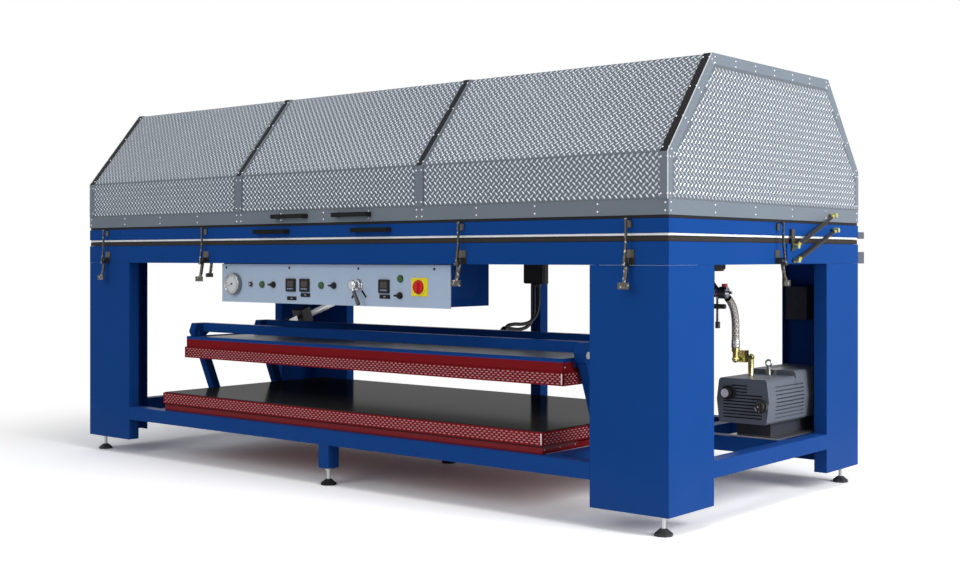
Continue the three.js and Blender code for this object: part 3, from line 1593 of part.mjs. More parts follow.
function pumpGrooves() {
  const [x0, x1] = pumpXs;
  const [y0, y1] = sideGrooveReaches.map((reach) => pumpFront + reach);
  const tools = [];
  for (let i = 0; i < frontGrooves; i += 1) {
    const z = pumpBottom + grooveRise + i * frontGroovePitch;
    const [left, right] = i < frontGrooves - shortGrooves ? frontGrooveReaches : shortGrooveReaches;
    tools.push(
      block(x0 + left, x1 - right, pumpFront - overrun, pumpFront + grooveDepth, z, z + grooveHeight),
    );
  }
  for (let i = 0; i < sideGrooves; i += 1) {
    const z = pumpBottom + grooveRise + i * sideGroovePitch;
    tools.push(block(x1 - pumpTaper - grooveDepth, x1 + overrun, y0, y1, z, z + grooveHeight));
  }
  return tools;
}

function addPump() {
  const [x0, x1] = pumpXs;
  const plateTop = railTop + gap + pumpPlateThickness;
  const eye = new THREE.TorusGeometry(eyeBoltRing, eyeBoltWire, tinySides, plainSides);
  const eyeHeight = pumpTop + eyeBoltStem + eyeBoltWire + eyeBoltRing;
  eye.rotateX(Math.PI / 2).translate(eyeBoltX, eyeBoltY, eyeHeight);
  const elbowTop = at(elbowX, elbowY, elbowHeight);
  const elbowFront = at(elbowX, hoseStartY, elbowHeight);
  const elbowEnd = at(elbowX, hoseStartY, hoseStartZ);
  const body = weld(
    prism('y', pumpOutline(0), pumpFront, motorFront + weldBite),
    prism('y', pumpOutline(motorRise), motorFront, pumpBack),
    block(...pumpPlateXs, ...pumpPlateYs, railTop + gap, plateTop),
    block(
      x0 + pedestalInset, x1 - pedestalInset, pumpPlateYs[0] + pedestalInset, pumpPlateYs[1] - pedestalInset,
      plateTop - weldBite, pumpBottom + weldBite,
    ),
    toSolid(eye),
    disc(
      'z', eyeBoltX, eyeBoltY, eyeBoltStemRadius, pumpTop - weldBite, eyeHeight - eyeBoltRing, coarseSides,
    ),
    bar(at(elbowX, elbowY, pumpTop - weldBite), elbowTop, elbowRadius),
    bar(elbowTop, elbowFront, elbowRadius),
    bar(elbowFront, elbowEnd, elbowRadius),
    [elbowTop, elbowFront].map((corner) => toSolid(
      new THREE.SphereGeometry(elbowKnuckle, coarseSides, tinySides).translate(corner.x, corner.y, corner.z),
    )),
    bar(at(elbowX, hoseStartY, hoseStartZ - ferruleRadius), elbowEnd, ferruleRadius),
    block(
      elbowX - ferruleRadius, elbowX + ferruleRadius, (elbowY + hoseStartY) / 2 - ferruleRadius,
      (elbowY + hoseStartY) / 2 + ferruleRadius, elbowHeight - ferruleRadius, elbowHeight + reliefHeight,
    ),
  );
  place(machine, 'pump_housing', weld(cut(body, pumpGrooves()), fillerCap()), {
    color: pumpGrey, roughness: 0.55, metalness: 0.3,
  });
}

const fillerInset = 252;
const fillerRise = 119;
const fillerRadius = 28;
const fillerGrip = 20;
const fillerHeight = 42;

// The round filler cap at the upper left of the pump's front
function fillerCap() {
  const profile = [
    [0, -weldBite], [fillerRadius, -weldBite], [fillerRadius, fillerHeight / 2],
    [fillerGrip, fillerHeight / 2],
    [fillerGrip, fillerHeight], [0, fillerHeight],
  ];
  return turnedForward(profile, halfLength - fillerInset, pumpFront, pumpBottom + fillerRise, fineSides);
}

const pumpKnobInset = 109;
const pumpKnobRise = 74;
const pumpKnobPlace = [halfLength - pumpKnobInset, pumpBottom + pumpKnobRise];
const pumpKnobRadius = 25;
const pumpKnobHeight = 34;
const pumpKnobGrip = 19;
const pumpGripHalf = 6;

function addPumpKnob() {
  const [x, z] = pumpKnobPlace;
  const profile = [
    [0, gap], [pumpKnobRadius, gap], [pumpKnobRadius, pumpKnobHeight / 2], [pumpKnobGrip, pumpKnobHeight / 2],
    [pumpKnobGrip, pumpKnobHeight], [0, pumpKnobHeight],
  ];
  const group = jointGroup(machine, 'pump_knob', at(x, pumpFront, z));
  const grip = block(
    x - pumpGripHalf, x + pumpGripHalf, pumpFront - pumpKnobHeight - pumpGripHalf,
    pumpFront - pumpKnobHeight + weldBite,
    z - pumpKnobGrip + gap, z + pumpKnobGrip - gap,
  );
  place(group, 'pump_knob', weld(turnedForward(profile, x, pumpFront, z, fineSides), grip), blackPlastic);
}

// Hose and valve manifold: the shares of the hose's route are [towards the manifold, upwards]
const hoseRouteShares = [[0, 0], [0, 0.3], [0.03, 0.555], [0.26, 0.78], [0.68, 0.93], [1, 1]];
const hoseEndOut = 30;
const hoseEndDrop = 22;
const hoseSteps = 12;
const hoseSides = 8;
const manifoldY = 66;
const manifoldDrop = 112;
const manifoldZ = bedBottom - manifoldDrop;
const manifoldRadius = 19;
const manifoldReach = 140;
const manifoldRing = { radius: 24, from: -17, to: 13 };
const manifoldCap = { radius: 20, to: 16 };
const manifoldTip = { radius: 6, to: 34 };
const ventCap = { x: 3, radius: 12, height: 35 };
const outletOut = 56;
const outletRadius = 56;
const outletChamfer = 10;
const outletDrop = 28;
const outletPipeRadius = 13;
const outletFlareRadius = 34;
const outletFlareZs = [12, 41];
const drainOut = 28;
const drainRadius = 7;
const drainLength = 114;
const drainEnd = 140;
const drainEndRadius = 10;
const drainTee = { radius: 10, from: -25, to: 33, drop: 54 };

function addHose() {
  const endY = manifoldY + hoseEndOut;
  const endZ = manifoldZ - hoseEndDrop;
  const startZ = hoseStartZ + gap;
  const route = hoseRouteShares.map(([across, up]) => [
    elbowX, hoseStartY + across * (endY - hoseStartY), startZ + up * (endZ - startZ),
  ]);
  place(machine, 'vacuum_hose', hose(route, hoseRadius, hoseSteps, hoseSides), {
    color: 0x9a9a9a, roughness: 0.5, metalness: 0.5,
  });
}

function addManifold() {
  const x = elbowX;
  const outletX = x - outletOut;
  const drainX = x - drainOut;
  const tableBottom = bedTop - tableDrop - tableThickness - gap;
  const outletProfile = [
    [0, manifoldZ], [outletFlareRadius, manifoldZ], [outletFlareRadius, manifoldZ + outletFlareZs[0]],
    [outletPipeRadius, manifoldZ + outletFlareZs[1]], [outletPipeRadius, bedBottom - outletDrop],
    [outletRadius - outletChamfer, bedBottom - outletDrop],
    [outletRadius, bedBottom - outletDrop + outletChamfer],
    [outletRadius, tableBottom], [0, tableBottom],
  ];
  const manifold = weld(
    turned(outletProfile, outletX, manifoldY, 0),
    disc('x', manifoldY, manifoldZ, manifoldRadius, x - manifoldReach, x),
    disc(
      'x', manifoldY, manifoldZ, manifoldRing.radius, x + manifoldRing.from, x + manifoldRing.to, fineSides,
    ),
    disc('x', manifoldY, manifoldZ, manifoldCap.radius, x, x + manifoldCap.to),
    disc('x', manifoldY, manifoldZ, manifoldTip.radius, x, x + manifoldTip.to, coarseSides),
    disc('z', x + ventCap.x, manifoldY, ventCap.radius, manifoldZ, manifoldZ + ventCap.height, coarseSides),
    disc('z', drainX, manifoldY, drainRadius, manifoldZ - drainEnd, manifoldZ, coarseSides),
    disc('z', drainX, manifoldY, drainEndRadius, manifoldZ - drainEnd, manifoldZ - drainLength, coarseSides),
    disc(
      'x', manifoldY, manifoldZ - drainTee.drop, drainTee.radius, drainX + drainTee.from,
      drainX + drainTee.to,
    ),
  );
  place(machine, 'vacuum_manifold', manifold, { color: 0x2a2c2f, roughness: 0.5, metalness: 0.3 });
}

// Assembly
addBaseFrame();
addEndFrames();
addFeet();
addBedFrame();
addBedSeal();
addControlBox();
addControlPanel();
addGauge();
addSelectors();
addButton();
addIsolator();
addValveLever();
addJunctionBox();
addConduit();
addLowerPlaten();
const frontSwing = addSwing('front');
addSwing('rear');
addUpperPlaten(frontSwing);
addCylinder();
addPump();
addPumpKnob();
addHose();
addManifold();
addLatches();
const lid = jointGroup(machine, 'membrane_frame', at(0, lidHingeY, lidHingeZ));
addMembraneFrame(lid);
const hood = jointGroup(lid, 'hood', at(0, hoodHingeY, hoodHingeZ));
addHood(hood);
for (const side of sides) {
  const end = side < 0 ? 'left' : 'right';
  addSpring(machine, `lid_spring_${end}`, side, lidSpringLower, lidSpringUpper);
  addSpring(lid, `hood_spring_${end}`, side, hoodSpringLower, hoodSpringUpper);
}

// The footprint's middle goes to X = Y = 0
const bounds = new THREE.Box3().setFromObject(machine);
const centre = bounds.getCenter(new THREE.Vector3());
machine.position.set(-centre.x, -centre.y, 0);
machine.updateMatrixWorld(true);

export default machine;
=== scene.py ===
import math
from typing import NamedTuple

import bpy
import numpy as np
from bpy.props import FloatProperty, FloatVectorProperty, IntProperty, PointerProperty
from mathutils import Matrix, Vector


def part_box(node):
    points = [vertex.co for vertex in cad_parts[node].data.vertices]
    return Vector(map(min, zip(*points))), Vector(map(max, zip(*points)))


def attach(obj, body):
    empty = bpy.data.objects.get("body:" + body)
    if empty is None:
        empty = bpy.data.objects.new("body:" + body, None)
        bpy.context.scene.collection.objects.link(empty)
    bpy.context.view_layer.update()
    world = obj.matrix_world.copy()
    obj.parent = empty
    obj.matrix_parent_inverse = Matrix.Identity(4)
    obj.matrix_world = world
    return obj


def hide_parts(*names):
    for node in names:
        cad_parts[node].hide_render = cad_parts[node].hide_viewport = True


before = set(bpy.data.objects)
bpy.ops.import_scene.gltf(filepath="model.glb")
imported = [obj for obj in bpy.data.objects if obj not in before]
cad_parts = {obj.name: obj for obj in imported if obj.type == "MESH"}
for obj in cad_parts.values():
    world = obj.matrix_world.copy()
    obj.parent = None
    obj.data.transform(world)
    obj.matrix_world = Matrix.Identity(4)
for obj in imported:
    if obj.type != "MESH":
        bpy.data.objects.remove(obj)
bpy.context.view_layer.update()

bl_info = {
    "name": "Vacuum forming press",
    "version": (1, 0, 0),
    "blender": (4, 5, 0),
    "location": "3D View > Sidebar > Press",
    "description": "Paints the packed press and adds its tread plate, guards, instruments, hoses and stage",
    "category": "Object",
}

MM = 0.001
SHIFT_Y = -8 * MM  # from the source's middle to the row frame's
ACROSS, OUT, UP = np.array((1.0, 0.0, 0.0)), np.array((0.0, -1.0, 0.0)), np.array((0.0, 0.0, 1.0))

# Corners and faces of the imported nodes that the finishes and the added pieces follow
SIDE_LOW, SIDE_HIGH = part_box("hood_panel_left")
MIDDLE_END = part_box("hood_panel_middle")[1][0]
HALF_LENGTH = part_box("hood_end_right")[1][0]
FRONT, REAR = SIDE_LOW[1], SIDE_HIGH[1]
HAIR = 0.4 * MM  # what lies past a face by more than this is fitted on it
PAST_FRONT, PAST_REAR, PAST_END = FRONT - HAIR, REAR + HAIR, HALF_LENGTH + HAIR
PUMP_FRONT = 115 * MM + SHIFT_Y
MANIFOLD = (66 * MM + SHIFT_Y, 800 * MM)
PANEL_FACE = -727 * MM + SHIFT_Y

# The hood's section: upright to the crease, then sloping to the roof
CREASE = 1292 * MM
ROOF_FRONT, ROOF_REAR = FRONT + 288 * MM, REAR - 288 * MM
RISE, RUN = SIDE_HIGH[2] - CREASE, ROOF_FRONT - FRONT
SLANT = math.hypot(RISE, RUN)
RIB, RIB_EDGE, RIB_STRIP = 532 * MM, 20 * MM, 14 * MM  # middle, half its width and half its strip's
END_POST, END_TRIM, END_RISE = 25 * MM, 35 * MM, 0.4 * MM
SKIRT_SEAL_TOP = 1081 * MM

# How strongly a paint mirrors its surroundings
POWDER_GLOSS, PAINT_GLOSS, TRIM_GLOSS, SEAL_GLOSS, PLASTIC_GLOSS = 0.015, 0.05, 0.08, 0.1, 0.15

SEAL_BROWN = (0.030, 0.025, 0.022)
STARTER_GREY = (0.060, 0.062, 0.075)

# (x, z) places on the control panel's face, in millimetres
GAUGE = (-584, 822)
BUTTON = (-475, 822)
SELECTORS = {"left": (-330, 821), "middle": (41, 822), "right": (411, 788)}
LAMPS = [(-403, 821), (-35, 822), (413, 854)]
CONTROLLERS = [(-218, 821), (-133, 821), (327, 823)]
WINDOWS = [(-215, 765), (-131, 780), (328, 782)]
VALVE = (181, 827)
ISOLATOR = (515, 823)
LEVER_TURN = 0.153 * math.pi

# (x, z) places on the pump's front, in millimetres
FILLER_CAP = (1398, 407)
PUMP_KNOB = (1541, 362)

# Places and reaches of the stage, in metres
CAMERA_PLACE = (3.9641, -4.5293, 0.940)
LAMP_AIM = (0.0, 0.0, 0.7)
FLOOR_HALF = 40.0
FLOOR_FADE = (1.9, 3.6)

# The hose and the two conduits follow the source's routes, in the source's millimetres
HOSE_ROUTE = [
    (1400, 158, 580.3), (1400, 158, 639.6), (1400, 156.1, 690), (1400, 141.9, 734.5), (1400, 115.8, 764.2),
    (1400, 96, 778),
]
CONDUIT_ROUTES = [
    [(24, 644, 792), (26, 642, 700), (30, 632, 650), (34, 590, 606), (34, 520, 590), (32, 440, 597), (30, 398, 600),
     (30, 382, 586)],
    [(54, 644, 792), (56, 640, 712), (57, 624, 664), (56, 580, 628), (54, 520, 616), (52, 450, 618), (50, 402, 610),
     (50, 382, 586)],
]


def a_length(name, description, default, least):
    """A property that holds a length in metres."""
    return FloatProperty(name=name, description=description, default=default, min=least, unit="LENGTH")


def a_colour(name, description, *default):
    """A property that holds a colour."""
    return FloatVectorProperty(name=name, description=description, default=default, subtype="COLOR")


class PressSizes(bpy.types.PropertyGroup):
    """Sizes of the added detail."""

    tread_pitch: a_length("Tread pitch", "Distance between like bars of the tread plate", 25 * MM, 0.01)
    tread_bar: a_length("Tread bar", "Length of one raised bar", 20 * MM, 0.005)
    tread_width: a_length("Tread width", "Width of one raised bar", 6.4 * MM, 0.001)
    tread_rise: a_length("Tread rise", "How far a bar stands proud", 1.7 * MM, 0.0002)
    slot_pitch: a_length("Slot pitch", "Distance between the slots of a guard row", 23 * MM, 0.005)
    slot_length: a_length("Slot length", "Length of a slot in the guards", 16 * MM, 0.002)
    slot_height: a_length("Slot height", "Height of a slot in the guards", 5 * MM, 0.001)
    slot_rows: IntProperty(name="Slot rows", description="Rows of slots up a guard", default=5, min=1)
    rivet_radius: a_length("Rivet radius", "Radius of a rivet head", 3.6 * MM, 0.001)
    rivet_pitch: a_length("Rivet pitch", "Distance between the pairs of rivets in the skirt", 300 * MM, 0.02)
    trim_pitch: a_length("Trim pitch", "Distance between the rivets of the trim and strips", 152 * MM, 0.02)


class PressColours(bpy.types.PropertyGroup):
    """Colours of the finishes."""

    blue: a_colour("Blue", "Powder coat of the stand and frames", 0.009, 0.067, 0.292)
    red: a_colour("Red", "Powder coat of the platens and guards", 0.263, 0.0142, 0.0192)
    grey: a_colour("Grey", "Paint of the hood's skirt and trim", 0.20, 0.235, 0.28)
    panel: a_colour("Panel", "Paint of the control panel", 0.49, 0.61, 0.78)
    pump: a_colour("Pump", "Paint of the pump's housing", 0.145, 0.165, 0.20)
    # Aluminium and Plate are one metal: the bars are painted bright as highlights, and the plate between them is
    # painted dark as shade
    aluminium: a_colour("Aluminium", "Bare tread plate", 0.67, 0.735, 0.81)
    plate: a_colour("Plate", "Dull plate between the tread's bars", 0.168, 0.19, 0.218)
    steel: a_colour("Steel", "Zinc-plated and ground steel", 0.52, 0.53, 0.53)
    latch: a_colour("Latch", "Yellow-passivated steel of the latches", 0.105, 0.10, 0.085)
    brass: a_colour("Brass", "Brass fittings", 0.80, 0.75, 0.30)
    hinge: a_colour("Hinge", "Dull steel of the hinges and studs", 0.17, 0.18, 0.22)
    black: a_colour("Black", "Moulded black plastic", 0.012, 0.012, 0.013)
    rubber: a_colour("Rubber", "Seals and pads", 0.018, 0.018, 0.02)
    membrane: a_colour("Membrane", "White silicone membrane", 0.78, 0.81, 0.84)
    knob: a_colour("Knob", "Red of the isolator knob", 0.52, 0.012, 0.016)
    yellow: a_colour("Yellow", "Isolator plate", 0.80, 0.68, 0.02)
    green: a_colour("Green", "Lamp lenses", 0.018, 0.075, 0.014)
    insulation: a_colour("Insulation", "Mineral board behind the guards", 0.84, 0.50, 0.53)


class PressStage(bpy.types.PropertyGroup):
    """Camera, floor and light."""

    lens: FloatProperty(name="Lens", description="Focal length in millimetres", default=49.56, min=10.0)
    turn: FloatProperty(name="Turn", description="Camera's turn about the vertical", default=math.radians(39.665),
                        subtype="ANGLE")
    shift: FloatProperty(name="Shift", description="Vertical shift of the frame", default=-0.0345)
    daylight: FloatProperty(name="Daylight", description="Strength of the surrounding light", default=0.46, min=0.0)
    key: FloatProperty(name="Key", description="Power of the large lamp on the right", default=415.0, min=0.0,
                       unit="POWER")
    floor_lift: FloatProperty(name="Floor lift", description="How pale the floor looks under the press, 1 for white",
                              default=1.5, min=0.0)


def colours():
    """The colours that the user may change."""
    return bpy.context.scene.press_colours


def sizes():
    """The sizes that the user may change."""
    return bpy.context.scene.press_sizes


def maths(operation, reflected=False):
    """An operator of Value that adds a Math node; a reflected one puts the other value first."""
    def operator(self, *others):
        values = (*others, self) if reflected else (self, *others)
        return self.nodes.node("ShaderNodeMath", {"operation": operation}, dict(enumerate(values)))

    return operator


class Value:
    """A socket in a node tree. Python's operators on it add Math nodes: & gives the lesser value, | the greater,
    and > and < give 1 or 0."""

    def __init__(self, nodes, socket):
        self.nodes = nodes
        self.socket = socket

    __add__, __radd__ = maths("ADD"), maths("ADD", True)
    __sub__, __rsub__ = maths("SUBTRACT"), maths("SUBTRACT", True)
    __mul__, __rmul__ = maths("MULTIPLY"), maths("MULTIPLY", True)
    __truediv__, __rtruediv__ = maths("DIVIDE"), maths("DIVIDE", True)
    __pow__, __rpow__ = maths("POWER"), maths("POWER", True)
    __and__, __rand__ = maths("MINIMUM"), maths("MINIMUM", True)
    __or__, __ror__ = maths("MAXIMUM"), maths("MAXIMUM", True)
    __gt__, __lt__ = maths("GREATER_THAN"), maths("LESS_THAN")
    __abs__, wave, fraction, angle = maths("ABSOLUTE"), maths("SINE"), maths("FRACT"), maths("ARCTAN2")

    def between(self, low, high):
        """1 where low < value < high, else 0."""
        return (self > low) & (self < high)


def distance(first, second, middle):
    """How far a point lies from an axis: the root of the sum of its two squared offsets."""
    return ((first - middle[0]) ** 2.0 + (second - middle[1]) ** 2.0) ** 0.5


def metres(point):
    """A place in millimetres as one in metres."""
    return [v * MM for v in point]


def shaded(colour, share, lift=0.0):
    """A colour times a share, with a lift added to it."""
    return tuple(v * share + lift for v in colour)


class Nodes:
    """The node tree of a material or a world that is being made."""

    def __init__(self, owner):
        owner.use_nodes = True
        self.tree = owner.node_tree
        self.tree.nodes.clear()

    def node(self, kind, settings=None, inputs=None, output=0):
        """Adds a node: its settings first, then the values or links of its sockets. Returns one output, or a list
        of them all if output is None."""
        node = self.tree.nodes.new(kind)
        for name, value in (settings or {}).items():
            if name == "stops":
                self.set_stops(node.color_ramp, value)
            else:
                setattr(node, name, value)
        for key, value in (inputs or {}).items():
            self.feed(node.inputs[key], value)
        if output is None:
            return [Value(self, socket) for socket in node.outputs]
        return Value(self, node.outputs[output])

    def feed(self, socket, value):
        """Links a Value to the socket, or sets a plain number or colour on it."""
        if isinstance(value, Value):
            self.tree.links.new(value.socket, socket)
        elif socket.type == "RGBA":
            socket.default_value = (*value, 1.0)
        else:
            socket.default_value = value

    def set_stops(self, ramp, stops):
        """Sets a colour ramp's stops from (position, grey) pairs."""
        while len(ramp.elements) < len(stops):
            ramp.elements.new(0.5)
        for element, (position, grey) in zip(ramp.elements, stops):
            element.position = position
            element.color = (grey, grey, grey, 1.0)

    def parts(self, vector):
        """The three numbers of a vector."""
        return self.node("ShaderNodeSeparateXYZ", None, {0: vector}, None)

    def ramp(self, value, *stops):
        """The value bent through (position, result) stops."""
        return self.node("ShaderNodeValToRGB", {"stops": stops}, {"Fac": value}, "Color")

    def seen(self):
        """1 for a ray from the camera, off metal or through glass, and 0 for one that lights a surface."""
        camera, glossy, clear = (self.node("ShaderNodeLightPath", output=name)
                                 for name in ("Is Camera Ray", "Is Glossy Ray", "Is Transmission Ray"))
        return camera | glossy | clear

    def either(self, factor, first, second):
        """The first shader where the factor is 0 and the second where it is 1."""
        return self.node("ShaderNodeMixShader", None, {0: factor, 1: first, 2: second})


class Finish(NamedTuple):
    """What a surface shows at each point: colour, roughness, how metallic it is and its relief in metres."""

    colour: object
    roughness: object
    metallic: object = 0.0
    relief: object = 0.0


class Paint(Nodes):
    """A material that is being made, with the object coordinates that its patterns read."""

    def __init__(self, name):
        self.material = bpy.data.materials.new(name)
        super().__init__(self.material)
        self.place = self.node("ShaderNodeTexCoord", output="Object")
        self.x, self.y, self.z = self.parts(self.place)

    def stretched(self, x, y, z):
        """Object coordinates scaled along each axis."""
        return self.node("ShaderNodeMapping", {"vector_type": "POINT"}, {"Vector": self.place, "Scale": (x, y, z)})

    def noise(self, scale, detail=3.0, roughness=0.5, vector=None):
        """Fractal noise from 0 to 1, with its lumps 1/scale metres wide."""
        return self.node("ShaderNodeTexNoise", {"noise_dimensions": "3D"}, {
            "Vector": vector or self.place, "Scale": scale, "Detail": detail, "Roughness": roughness}, "Fac")

    def tint(self, factor, first, second):
        """The first colour turning into the second as the factor goes from 0 to 1."""
        return self.node("ShaderNodeMix", {"data_type": "RGBA"}, {0: factor, 6: first, 7: second}, 2)

    def box(self, **sides):
        """1 inside a box that is given as x, y or z = (low, high) in millimetres, else 0."""
        mask = None
        for axis, (low, high) in sides.items():
            inside = getattr(self, axis).between(low * MM, high * MM)
            mask = inside if mask is None else mask & inside
        return mask

    def layered(self, finish, *layers):
        """The finish with each (mask, finish) layer laid over it in turn where its mask is 1. Colours are mixed, and
        each number that isn't the same in both becomes first (1 - mask) + mask second."""
        for mask, over in layers:
            rest = 1 - mask
            numbers = [first if first == second else first * rest + mask * second
                       for first, second in zip(finish[1:], over[1:])]
            finish = Finish(self.tint(mask, finish.colour, over.colour), *numbers)
        return finish

    def show(self, finish, coat=0.0, gloss=0.5):
        """Feeds a finish to the shader and returns the material. Gloss is the strength of its mirror image."""
        bump = self.node("ShaderNodeBump", None, {"Strength": 1.0, "Distance": 1.0, "Height": finish.relief})
        sockets = {"Base Color": finish.colour, "Roughness": finish.roughness, "Metallic": finish.metallic,
                   "Specular IOR Level": gloss, "Normal": bump}
        if coat:
            sockets.update({"Coat Weight": coat, "Coat Roughness": 0.12})
        shader = self.node("ShaderNodeBsdfPrincipled", None, sockets)
        self.node("ShaderNodeOutputMaterial", None, {"Surface": shader}, None)
        return self.material

    def powder(self, colour, roughness=0.36):
        """Powder coat: a slight orange peel, cloudy gloss, and a little dust towards the floor."""
        cloud = self.noise(3.0, 4.0)
        grain = self.noise(420.0, 2.0)
        dust = self.ramp(self.z + (cloud - 0.5) * 0.3, (0.0, 0.03), (0.30, 0.0))
        shade = self.tint(cloud * 0.5, colour, shaded(colour, 0.80))
        dusty = self.tint(dust, shade, (0.25, 0.26, 0.28))
        return Finish(dusty, cloud * 0.14 + (roughness - 0.07) + dust * 0.3, 0.0, grain * 2.5e-5)

    def bare(self, colour, roughness=0.28, stretch=(20.0, 240.0, 240.0), metallic=1.0):
        """Ground or plated metal: fine parallel grain and cloudy tarnish."""
        grain = self.noise(6.0, 4.0, 0.6, self.stretched(*stretch))
        cloud = self.noise(14.0, 3.0)
        shade = self.tint(cloud * 0.6, colour, shaded(colour, 0.72))
        return Finish(shade, grain * 0.16 + cloud * 0.08 + (roughness - 0.1), metallic, grain * 2e-5)

    def moulded(self, colour, roughness=0.42):
        """Moulded plastic or rubber: an even colour with a fine leathery skin and rubbed patches."""
        skin = self.noise(1100.0, 2.0)
        wear_and_glints = self.noise(38.0, 3.0)
        shade = self.tint(wear_and_glints * 0.55, colour, shaded(colour, 1.6, 0.012))
        return Finish(shade, wear_and_glints * 0.2 + (roughness - 0.08), 0.0, skin * 3e-5)

    def pale(self):
        """The lilac-white plastic of the filler cap's face and of the pale centre and crescent on the pump knob."""
        return self.moulded((0.60, 0.58, 0.66), 0.38)

    def plate(self):
        """Aluminium plate between the raised bars: painted far darker than the bars as shade between them, with rolled
        grain, dirt in patches and rubbed spots.
        """
        c = colours()
        # c.plate is far darker than the bars' c.aluminium, though both are one metal: painted shade between the bars
        base = self.bare(c.plate, 0.42, (10.0, 160.0, 160.0), 0.25)
        marks = self.ramp(self.noise(2.2, 5.0, 0.65), (0.42, 0.0), (0.72, 1.0))
        return self.layered(base, (marks * 0.55, Finish(shaded(c.plate, 0.78), 0.55, 0.2, base.relief)))


def even(name, kind, *look, coat=0.0, gloss=0.5, **more):
    """A material of one kind all over, such as Paint.powder, Paint.bare or Paint.moulded."""
    paint = Paint(name)
    return paint.show(kind(paint, *look, **more), coat, gloss)


def tread_plate(name):
    """The material of the hood's tread plate."""
    return even(name, Paint.plate, gloss=PLASTIC_GLOSS)


def dress(material, *nodes):
    """Puts a material on CAD nodes."""
    for name in nodes:
        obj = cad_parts[name]
        obj.data.materials.clear()
        obj.data.materials.append(material)


def soften(width, *nodes):
    """Rounds the sharp edges of CAD nodes with modifiers; their own meshes stay as they are."""
    for name in nodes:
        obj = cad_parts[name]
        weld = obj.modifiers.new("joined", "WELD")
        weld.merge_threshold = 1e-5
        planar = obj.modifiers.new("flat_faces", "DECIMATE")
        planar.decimate_type = "DISSOLVE"
        planar.angle_limit = math.radians(0.5)
        bevel = obj.modifiers.new("edges", "BEVEL")
        bevel.width = width
        bevel.segments = 2
        bevel.limit_method = "ANGLE"
        bevel.angle_limit = math.radians(40)
        bevel.harden_normals = True


def piece(name, vertices, faces, material, body, smooth=False, uv=None):
    """A mesh piece from an (n, 3) array in metres and an (m, 3) or (m, 4) array of corners, riding on a body."""
    mesh = bpy.data.meshes.new(name)
    mesh.from_pydata(np.asarray(vertices).tolist(), [], np.asarray(faces).tolist())
    if uv is not None:
        layer = mesh.uv_layers.new(name="surface")
        layer.data.foreach_set("uv", np.asarray(uv)[np.asarray(faces).ravel()].ravel())
    mesh.polygons.foreach_set("use_smooth", np.full(len(mesh.polygons), smooth))
    mesh.materials.append(material)
    mesh.update()
    obj = bpy.data.objects.new(name, mesh)
    bpy.context.scene.collection.objects.link(obj)
    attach(obj, body)
    return obj


def thicken(obj, thickness):
    """Gives a sheet its wall with a modifier."""
    wall = obj.modifiers.new("wall", "SOLIDIFY")
    wall.thickness = thickness
    return wall


def grid_faces(rows, columns, wrap=False):
    """Quads of a grid of rows x columns points, numbered row by row; wrap closes each row on itself."""
    across = columns if wrap else columns - 1
    i, j = np.meshgrid(np.arange(rows - 1), np.arange(across), indexing="ij")
    k = (j + 1) % columns
    return np.stack((i * columns + j, i * columns + k, (i + 1) * columns + k, (i + 1) * columns + j), -1).reshape(-1, 4)


def turned(profile, sides, unit=MM):
    """Turns (radius, height) points about +Z: point = (r cos t, r sin t, h). Quads point outwards as h rises."""
    profile = np.array(profile) * unit
    turn = np.linspace(0, 2 * np.pi, sides, endpoint=False)
    ring = np.stack((np.cos(turn), np.sin(turn)), -1)
    flat = profile[:, None, :1] * ring[None]
    height = np.broadcast_to(profile[:, None, 1:], (*flat.shape[:2], 1))
    return np.concatenate((flat, height), -1).reshape(-1, 3), grid_faces(len(profile), sides, True)


def repeated(unit, faces, places, frames):
    """Copies a unit mesh: each vertex is its place plus the frame's columns times the unit's coordinates."""
    vertices = places[:, None, :] + np.einsum("nij,kj->nki", frames, unit)
    start = (np.arange(len(places)) * len(unit))[:, None, None]
    return vertices.reshape(-1, 3), (faces[None] + start).reshape(-1, faces.shape[1])


def placed(mesh, *rows):
    """Copies a mesh to each point of each (points, normal, along) row: its +Z turns to the normal, its +X along."""
    frames = []
    for points, normal, along in rows:
        normal, along = np.asarray(normal, float), np.asarray(along, float)
        columns = np.stack((along, np.cross(normal, along), normal), -1)
        frames.append(np.broadcast_to(columns, (len(points), 3, 3)))
    return repeated(*mesh, np.concatenate([row[0] for row in rows]), np.concatenate(frames))


def on_panel(points, mesh):
    """Copies of a mesh that stands on the control panel's face, at (x, z) places in millimetres."""
    places = np.array([(x * MM, PANEL_FACE, z * MM) for x, z in points])
    return placed(mesh, (places, OUT, ACROSS))


def merged(*parts):
    """One mesh from several (vertices, faces) pairs with like faces."""
    offset = np.cumsum([0] + [len(v) for v, _ in parts[:-1]])
    return np.concatenate([v for v, _ in parts]), np.concatenate([f + o for (_, f), o in zip(parts, offset)])


def tube(points, radius, sides):
    """A tube along a smooth route: point = route + radius (cos t n + sin t b), with n square to the route and to X
    and b square to both. Returns vertices, quads and uv (turns round, metres along)."""
    tangent = np.gradient(points, axis=0)
    tangent /= np.linalg.norm(tangent, axis=1, keepdims=True)
    across = np.cross(tangent, ACROSS)
    across /= np.linalg.norm(across, axis=1, keepdims=True)
    other = np.cross(tangent, across)
    turn = np.linspace(0, 2 * np.pi, sides + 1)
    radii = np.broadcast_to(radius, len(points))[:, None, None]
    ring = across[:, None] * np.cos(turn)[None, :, None] + other[:, None] * np.sin(turn)[None, :, None]
    vertices = points[:, None] + radii * ring
    uv = np.stack(np.broadcast_arrays(turn[None] / (2 * np.pi), run_along(points)[:, None]), -1)
    return vertices.reshape(-1, 3), grid_faces(len(points), sides + 1), uv.reshape(-1, 2)


def run_along(points):
    """How far along a line of points each one lies: the running sum of the steps between them."""
    return np.concatenate(([0.0], np.cumsum(np.linalg.norm(np.diff(points, axis=0), axis=1))))


